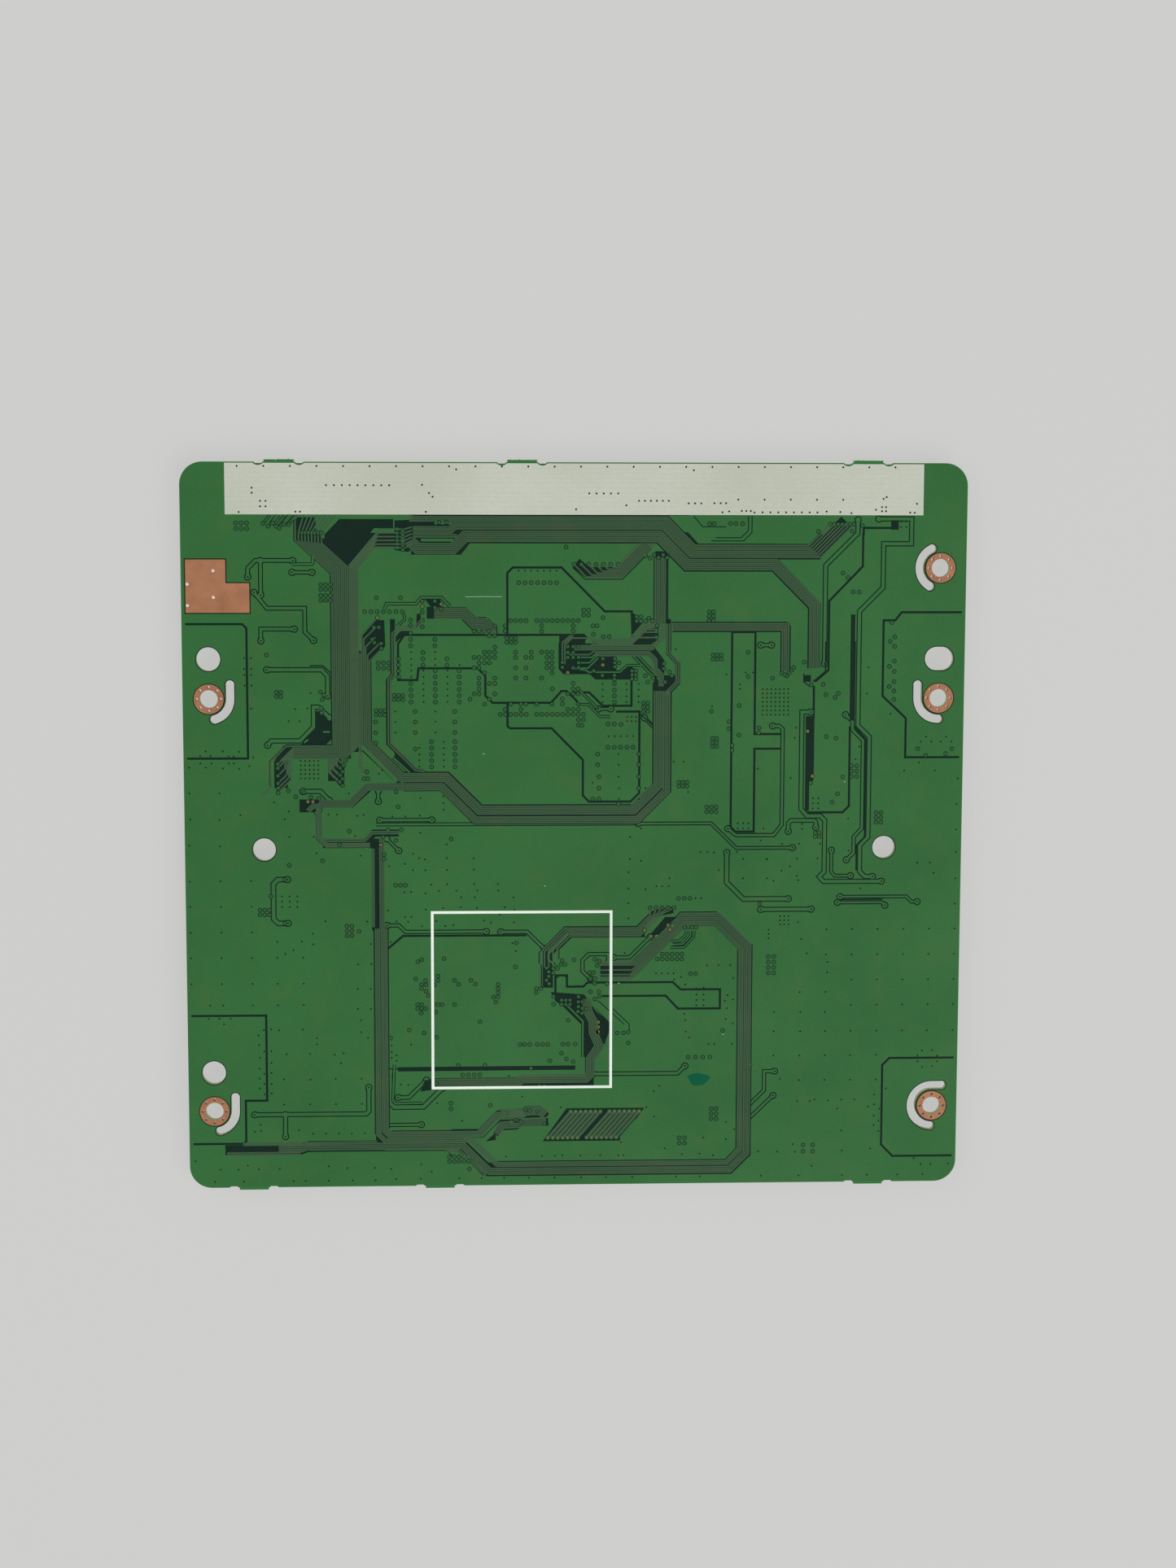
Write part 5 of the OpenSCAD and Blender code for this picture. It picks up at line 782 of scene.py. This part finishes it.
# White legend: the strip along the top edge and the square round the timing controller, printed in thick ink on
# the mask, a little grey from handling. They are packed layers with an ink material on them.
ink_group, given, place = new_group("white ink", "Clean", "Soiled")
clouds = spread(ink_group, noise(ink_group, place, 30, 3), 0.35, 0.7)
grain = spread(ink_group, noise(ink_group, place, 1500, 3), 0.3, 0.7)
print_lines = bands(ink_group, place, "Y", 300, 0.6)
tone = given["Clean"]
for pattern, most in ((clouds, 0.5), (grain, 0.25), (print_lines, 0.12)):
    tone = mix(ink_group, spread(ink_group, pattern, 0, 1, 0, most), tone, given["Soiled"])
give(ink_group, Colour=tone, Roughness=spread(ink_group, grain, 0, 1, 0.5, 0.65),
     Height=mix(ink_group, 0.5, grain, print_lines))
white_ink = new_material("white ink", ink_group, 0.01, 0.2, Clean=(202, 205, 190), Soiled=(176, 180, 162))
frame_ink = new_material("frame ink", ink_group, 0.01, 0.2, Clean=(246, 252, 242), Soiled=(210, 224, 208))
dress(white_ink, "legend_strip")
dress(frame_ink, "legend_frame")


# Vias in the legend strip: drilled holes that show through the white ink as small dark spots, in rows behind the
# panel receptacles. Flat discs let into the ink.
INK_TOP = 5.68
strip_vias = [
    *row(-74.4, 80.55, 5.806, 0, 26), *row(-54.95, 76.4, 1.73, 0, 9), (-71.2, 75.8), (-71.2, 74.7),
    *grid(-69.4, 72.95, 1.2, 2, 2), (-74.1, 70.5), (-61.7, 70.6), (-60.7, 70.6), (-33.9, 76.5), (-32.4, 74.7),
    (-31.6, 73.9), (-33.1, 70.6), (-26.4, 79.9), (0, 71.2), *row(2.9, 74.7, 1.6, 0, 5), (11.1, 72.1),
    *row(13.9, 73.1, 1.32, 0, 6), *at_y(72.55, 24.9, 26.3, 27.7), *at_y(72.6, 30.6, 32, 33.2),
    *row(35.9, 73.4, 5.83, 0, 5), (32.4, 70.6), (33.9, 70.8), *at_y(70.9, 36.7, 37.7, 38.7), (39.5, 70.55),
    (41.3, 70.6), *row(43.05, 70.6, 1.745, 0, 7), (55.55, 70.8), (58.6, 70.7), (61.1, 70.45), (68.2, 73.6),
    (68.9, 74), *grid(67.9, 71.8, 0.9, 2, 2), (66.55, 71.2), (74.2, 70.6), (75.2, 70.55), (75.7, 72.55), (26, 79.8),
]
inked_hole = new_material("hole in the ink", ink_group, 0.02, 0.1, Clean=(50, 54, 44), Soiled=(30, 36, 28))
inked_via = flat_disc(10, foot=0.26, head=0.22, middle=INK_TOP - 0.006)
make_piece("strip_vias", set_out(inked_via, strip_vias), "white_ink", inked_hole)


# Marks of use: a blot of dark green lacquer near the bottom, a faint scratch and a few pale specks on the mask.
# Thin flat shapes on the pour.
blot_size, blot_place, mark_depth, blot_depth, speck_radius = (2.4, 1.45, 1), (28, -57.3), 0.01, 0.016, 0.16
blot = bmesh.new()
bmesh.ops.create_circle(blot, cap_ends=True, segments=28, radius=1)
for vert in blot.verts:
    turn = math.atan2(vert.co.y, vert.co.x)
    vert.co *= 1 + 0.1 * math.sin(3 * turn + 0.6) + 0.05 * math.sin(5 * turn)
bmesh.ops.scale(blot, vec=blot_size, verts=blot.verts)
move(blot, *blot_place, POUR_TOP - mark_depth)
thicken(blot, blot_depth)
lacquer = new_material("green lacquer", mask_group, 0.02, 0.04,
                       Body=(12, 96, 66), Shade=(8, 78, 54), Tint=(26, 100, 60))
make_piece("lacquer_blot", blot, "mask_over_copper", lacquer)
marks = bmesh.new()
scratch, scratch_width = [(-24.5, 51.9), (-20.4, 51.98), (-16.4, 51.94)], 0.09
lay_track(marks, scratch, scratch_width, POUR_TOP - mark_depth, TRACK_TOP)
speck = bmesh.new()
bmesh.ops.create_icosphere(speck, subdivisions=1, radius=speck_radius)
bmesh.ops.scale(speck, vec=(1.3, 0.8, 0.2), verts=speck.verts)
move(speck, 0, 0, TRACK_TOP - mark_depth)
gather(marks, set_out(speck, [(-6.9, -12.8), (60.4, 10.5), (9.8, -35.1), (33.5, -47), (-20.5, 17)]))
dust = new_material("dust", ink_group, 0.01, 0.2, Clean=(190, 200, 186), Soiled=(140, 160, 140))
make_piece("scratch_and_specks", marks, "mask_over_copper", dust)


# Broken tabs: where the board was snapped out of its panel the glass fibres stand out of the torn edge. Short
# slivers in a loose row along each tab's end, placed by a fixed seed.
tab_edge, fibre_count, fibre_width, fibre_height = 82, 90, 0.07, 0.06
chance = random.Random(5)
fibres = bmesh.new()
for start, end in ((-67.6, -61.8), (-15, -8.4), (61.5, 67.3)):
    for _ in range(fibre_count):
        sliver = bmesh.new()
        bmesh.ops.create_cube(sliver, size=1)
        bmesh.ops.scale(sliver, vec=(fibre_width, chance.uniform(0.2, 0.6), fibre_height), verts=sliver.verts)
        lean = Matrix.Rotation(chance.uniform(-1.1, 1.1), 3, "Z")
        bmesh.ops.rotate(sliver, cent=(0, 0, 0), matrix=lean, verts=sliver.verts)
        spot = (chance.uniform(start, end), tab_edge - chance.uniform(0.0, 0.4), chance.uniform(4.4, 5.58))
        move(sliver, *spot)
        gather(fibres, sliver)
torn_glass = grained("torn glass cloth", 900, 0.8, 0.02, 0.2, (214, 218, 186), (120, 168, 108))
make_piece("torn_fibres", fibres, "board_laminate", torn_glass)


# Component side wiring: the same copper and mask as on the solder side, seen between the parts. Dark windows with
# ribbons from the controller to its memories and receptacles, gaps round the power stages, the vias that come
# through the board, and white outlines where the parts stand. All are thin plates on the laminate's lower face.
SEAT = 4.0
# Each ribbon: how many tracks, their pitch, and the route of its middle.
lower_ribbons = [
    (10, 0.5, [(-21, -23), (-21, -9), (-46, 16), (-46, 24), (-54, 32), (-54, 66.5)]),
    (10, 0.5, [(-14.5, -23), (-14.5, -4), (-18, -0.5), (-18, 22)]),
    (10, 0.5, [(-17, 44.8), (-17, 56), (-18.6, 57.6), (-18.6, 66.5)]),
    (10, 0.5, [(-8, -23), (-8, -10), (20, 18), (20, 33), (17, 36), (17, 66.5)]),
    (10, 0.5, [(-2, -23), (-2, -17), (4, -11), (22, -11), (35, 2), (35, 44), (53, 62), (53, 66.5)]),
    (8, 0.45, [(-22.6, 37), (-27.8, 37)]),
    (8, 0.45, [(-22.6, 28), (-24.6, 28), (-26.8, 25.8), (-26.8, 21), (-27.4, 21)]),
    (8, 0.45, [(0.6, 31), (5, 31)]),
    (8, 0.45, [(0.6, 25), (2.2, 23.4), (2.2, 16), (3.4, 14.8), (5, 14.8)]),
    (8, 0.45, [(-28, -44), (-38, -44), (-42, -48), (-50, -48)]),
    (6, 0.45, [(4, -43), (24.6, -43)]),
    (4, 0.6, [(3.8, -34), (40, -34), (46, -28)]),
    (4, 0.6, [(-28, -34), (-34, -28), (-50, -28)]),
    (3, 0.6, [(44, 33.2), (44, 42), (62, 60), (68, 66)]),
    (3, 0.6, [(-59, 17.2), (-59, 28), (-66, 35), (-66, 62), (-62, 66)]),
]
window_depth, comb_window_depth, wire_depth, gap_depth = 0.006, 0.0062, 0.01, 0.005
wire_share, comb_window, comb_wire, gap_width, chamfer = 0.7, 0.8, 0.45, 0.45, 2
windows, wires = bmesh.new(), bmesh.new()
for count, pitch, points in lower_ribbons:
    lay_track(windows, points, (count + 0.3) * pitch, SEAT - window_depth, SEAT)
    for k in range(count):
        lane = shifted(points, (k - (count - 1) / 2) * pitch)
        lay_track(wires, lane, wire_share * pitch, SEAT - wire_depth - hair(k, 0.0008, 3), SEAT)
for k in range(14):
    end = -5.8 + comb_pitch * k
    lane = [(end, -67), (end, -65), (end - 6, -59), (end - 6, -54)]
    lay_track(windows, lane, comb_window, SEAT - comb_window_depth, SEAT)
    lay_track(wires, lane, comb_wire, SEAT - wire_depth, SEAT)
for left, foot, right, head in ((-73.5, 20, -50.5, 47), (45, -1, 77, 24), (40, -43, 68, -24), (-74, -38, -43, -18),
                                (36.5, 20.5, 53, 36), (-65, 7, -51, 18.5), (-36, -17, -20, -7)):
    fence = [(left + chamfer, foot), (right - chamfer, foot), (right, foot + chamfer), (right, head - chamfer),
             (right - chamfer, head), (left + chamfer, head), (left, head - chamfer), (left, foot + chamfer),
             (left + chamfer, foot)]
    lay_track(windows, fence, gap_width, SEAT - gap_depth, SEAT)
make_piece("lower_gaps", windows, "board_laminate", dark_mask)
make_piece("lower_tracks", wires, "mask_over_tracks", mask_on_tracks)
lower_via = flat_disc(8, foot=0.2, head=0.22, middle=SEAT - 0.005)
make_piece("lower_vias", set_out(lower_via, ring_vias + tan_vias + plain_vias), "mask_over_copper", drilled)

line_width, ink_depth, mark_length = 0.2, 0.014, 3
outlines = bmesh.new()
for x, y, width, depth in ((-12.05, -38.8, 38, 38), (-11, 33, 29, 29)):
    for side in (-1, 1):
        for end in (-1, 1):
            at = (x + side * width / 2, y + end * depth / 2)
            mark = [(at[0] - side * mark_length, at[1]), at, (at[0], at[1] - end * mark_length)]
            lay_track(outlines, mark, line_width, SEAT - ink_depth, SEAT)
for x, y, width, depth in (
        (-32.4, 35, 10.2, 14.2), (-31.3, 20, 10.2, 14.2), (9.7, 12.6, 10.2, 14.2), (9.7, 28.2, 10.2, 14.2),
        (44.6, 28.5, 10.4, 10.4), (-59.2, 13.6, 8.4, 8.4), (27.5, 30, 8.4, 8.4), (-64, -16.1, 6.2, 5.2),
        (47.1, -20.9, 5.2, 5.2), (27.5, -45, 6, 9.6), (-53, -50, 6, 8.4), (-26.5, -12, 4.4, 3.6),
        (-66, 34, 9.2, 9.2), (57, 18, 9.2, 9.2), (54, -32, 9.2, 9.2), (-57, -27, 9.2, 9.2)):
    side, end = width / 2, depth / 2
    corners = [(x + side, y - end), (x + side, y + end), (x - side, y + end), (x - side, y - end)]
    lay_track(outlines, [(x, y - end), *corners, (x, y - end)], line_width, SEAT - ink_depth, SEAT)
make_piece("lower_outlines", outlines, "white_ink", frame_ink)


# Packages on the component side: moulded black epoxy bodies of the chips, diodes and transistors and the bases
# of the inductors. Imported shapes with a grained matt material.
epoxy = grained("moulded epoxy", 600, 0.72, 0.02, 0.3, (46, 46, 48), (34, 34, 36))
dress(epoxy, "timing_controller", "image_processor", "memory_chip_1", "memory_chip_2", "memory_chip_3",
      "memory_chip_4", "power_manager", "level_shifter", "gamma_buffer", "left_step_down_converter",
      "right_step_down_converter", "flash_memory", "settings_memory", "inductor_bases", "rectifier_diodes",
      "switching_transistors")


# First-pin marks: a shallow dimple near one corner of each chip, left by a polished pin of the mould. A turned
# disc with a sunk middle, a hair proud of the package's outer face.
dimple_depth, dimple_lip, dimple_sink, dimple_inset, dimple_rise = 0.04, 0.15, 0.015, 2.3, 0.012
dimples = bmesh.new()
for name, size in (("timing_controller", 1.0), ("image_processor", 0.8), ("memory_chip_1", 0.5),
                   ("memory_chip_2", 0.5), ("memory_chip_3", 0.5), ("memory_chip_4", 0.5), ("power_manager", 0.5),
                   ("level_shifter", 0.4), ("gamma_buffer", 0.4), ("left_step_down_converter", 0.3),
                   ("right_step_down_converter", 0.3), ("flash_memory", 0.35), ("settings_memory", 0.3)):
    low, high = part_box(name)
    dimple = bmesh.new()
    bmesh.ops.create_cone(dimple, cap_ends=True, segments=20, radius1=size, radius2=size, depth=dimple_depth)
    outer = min(dimple.faces, key=lambda f: f.calc_center_median().z)
    bmesh.ops.inset_region(dimple, faces=[outer], thickness=dimple_lip * size, depth=-dimple_sink)
    spot = (low[0] / MM + dimple_inset * size, high[1] / MM - dimple_inset * size, low[2] / MM + dimple_rise)
    move(dimple, *spot)
    gather(dimples, dimple)
polished = grained("polished epoxy", 900, 0.4, 0.005, 0.4, (40, 40, 42), (28, 28, 30))
make_piece("first_pin_marks", dimples, "package_black", polished)


# Soldered metal: balls under the chips, leads, end caps of the small parts and the hold-downs of the receptacles.
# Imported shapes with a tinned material.
soldered = ("package_leads", "inductor_terminals", "bulk_capacitor_terminals", "chip_terminals",
            "receptacle_hold_downs")
tin = grained("tinned metal", 500, 0.4, 0.01, 0.5, (206, 206, 204), (172, 173, 172), 0.85)
dress(tin, "timing_controller_balls", "image_processor_balls", "memory_balls", *soldered)


# Solder joints: a fillet of solder round the foot of each lead, end cap and hold-down where it meets the board.
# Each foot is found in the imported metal, and a block that flares towards the board is set round it.
joint_flare, joint_lip, joint_rise, foot_height = 0.16, 0.02, 0.14, 0.3
joints = bmesh.new()
for name in soldered:
    metal = bmesh.new()
    metal.from_mesh(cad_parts[name].data)
    bmesh.ops.remove_doubles(metal, verts=metal.verts, dist=1e-6)
    for start in metal.verts:
        if start.tag:
            continue
        start.tag = True
        reached = [start]
        for vert in reached:
            for edge in vert.link_edges:
                other = edge.other_vert(vert)
                if not other.tag:
                    other.tag = True
                    reached.append(other)
        foot = [vert.co / MM for vert in reached if vert.co.z > (SEAT - foot_height) * MM]
        if not foot:
            continue
        low_x, high_x = min(v.x for v in foot), max(v.x for v in foot)
        low_y, high_y = min(v.y for v in foot), max(v.y for v in foot)
        joint = bmesh.new()
        bmesh.ops.create_cube(joint, size=1)
        for vert in joint.verts:
            x, y, z = vert.co
            flare = joint_flare if z > 0 else joint_lip
            vert.co = (low_x - flare if x < 0 else high_x + flare, low_y - flare if y < 0 else high_y + flare,
                       SEAT if z > 0 else SEAT - joint_rise)
        gather(joints, joint)
    metal.free()
make_piece("solder_joints", joints, "solder_tin", tin)


# Power inductors and beads: pressed ferrite drums and shields, dark grey and porous, round windings of enamelled
# wire, whose turns show as rings: a painted highlight on each turn and painted shade between turns. Imported shapes.
ferrite = grained("pressed ferrite", 800, 0.85, 0.03, 0.2, (74, 74, 76), (54, 54, 57))
dress(ferrite, "inductor_shields", "inductor_cores", "ferrite_beads")
turns_group, given, place = new_group("turns of wire", "Bright", "Stain")
# Rings along the winding, one per turn: the colour goes from painted shade between the turns to a painted highlight on
# each turn.
turns = bands(turns_group, place, "Z", 600, 0.1, 2.0)
give(turns_group, Colour=mix(turns_group, turns, given["Stain"], given["Bright"]),
     Roughness=spread(turns_group, turns, 0, 1, 0.5, 0.32), Height=turns)
# The lighter colour is the painted highlight on each turn, and the darker one is the painted shade between turns.
winding = new_material("enamelled wire", turns_group, 0.15, 0.5, 0.6, Bright=(190, 104, 58), Stain=(110, 52, 28))
dress(winding, "inductor_windings")


# Small parts: tan ceramic capacitors, black-glazed resistors, the white ceramic fuse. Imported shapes, each with
# its own grained material.
tan_ceramic = grained("tan ceramic", 900, 0.6, 0.01, 0.35, (176, 148, 112), (150, 122, 90))
dress(tan_ceramic, "bulk_capacitors", "ceramic_capacitors")
glaze = grained("black glaze", 700, 0.38, 0.005, 0.5, (36, 36, 40), (24, 24, 28))
dress(glaze, "chip_resistors")
white_ceramic = grained("white ceramic", 700, 0.55, 0.01, 0.4, (226, 224, 214), (202, 200, 188))
dress(white_ceramic, "input_fuse")


# Receptacles: ivory plastic housings for the flat cables and the signal input, gilt contacts in them, and a
# drawn steel shell and crystal can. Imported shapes.
ivory = grained("ivory plastic", 400, 0.5, 0.01, 0.4, (222, 212, 186), (206, 194, 166))
dress(ivory, "panel_receptacle_1", "panel_receptacle_2", "panel_receptacle_3", "panel_receptacle_4",
      "signal_receptacle")
gilt = grained("gilt contact", 600, 0.36, 0.005, 0.5, (214, 174, 92), (184, 142, 70), 0.9)
dress(gilt, "panel_contacts_1", "panel_contacts_2", "panel_contacts_3", "panel_contacts_4", "signal_contacts")
steel = grained("drawn steel", 450, 0.38, 0.005, 0.5, (196, 196, 194), (166, 166, 166), 0.9)
dress(steel, "signal_shell", "crystal")


# The stage: a pale floor that glows a little, so that the board's holes show pale as they do against the
# photograph's backdrop, soft lights over it, and the photograph's camera.
floor_reach, floor_drop = 3, 0.0005
mesh = bmesh.new()
bmesh.ops.create_grid(mesh, x_segments=1, y_segments=1, size=floor_reach)
data = bpy.data.meshes.new("floor")
mesh.to_mesh(data)
mesh.free()
floor = bpy.data.objects.new("floor", data)
bpy.context.scene.collection.objects.link(floor)
floor.location.z = -floor_drop
paper = bpy.data.materials.new("backdrop paper")
paper.use_nodes = True
shader = paper.node_tree.nodes["Principled BSDF"]
shader.inputs["Base Color"].default_value = srgb(100, 101, 99)
shader.inputs["Roughness"].default_value = 0.9
shader.inputs["Specular IOR Level"].default_value = 0.0
shader.inputs["Emission Color"].default_value = srgb(255, 255, 252)
shader.inputs["Emission Strength"].default_value = 0.5
data.materials.append(paper)


def soft_light(name, size, power, spot):
    """A rectangle of light that faces the board."""
    lamp = bpy.data.lights.new(name, "AREA")
    lamp.shape = "RECTANGLE"
    lamp.size, lamp.size_y = size
    lamp.energy = power
    holder = bpy.data.objects.new(name, lamp)
    bpy.context.scene.collection.objects.link(holder)
    holder.location = spot
    holder.rotation_euler = (-Vector(spot)).to_track_quat("-Z", "Y").to_euler()


soft_light("key", (1.2, 1.2), 9.0, (0.5, -0.5, 1.1))
soft_light("fill", (1.4, 1.0), 5.0, (-0.7, 0.5, 1.0))
world = bpy.data.worlds.new("studio")
bpy.context.scene.world = world
world.use_nodes = True
sky = world.node_tree.nodes["Background"].inputs
sky["Color"].default_value = (0.95, 0.98, 1.0, 1)
sky["Strength"].default_value = 0.45

lens = bpy.data.cameras.new("camera")
lens.lens = 59.78
lens.sensor_width = 36
camera = bpy.data.objects.new("camera", lens)
bpy.context.scene.collection.objects.link(camera)
camera.location = (-0.02292, 0.07751, 0.58291)
camera.rotation_euler = [math.radians(a) for a in (-6.652, -2.533, 0.119)]
bpy.context.scene.camera = camera
bpy.context.scene.view_settings.view_transform = "Standard"

bpy.context.view_layer.update()
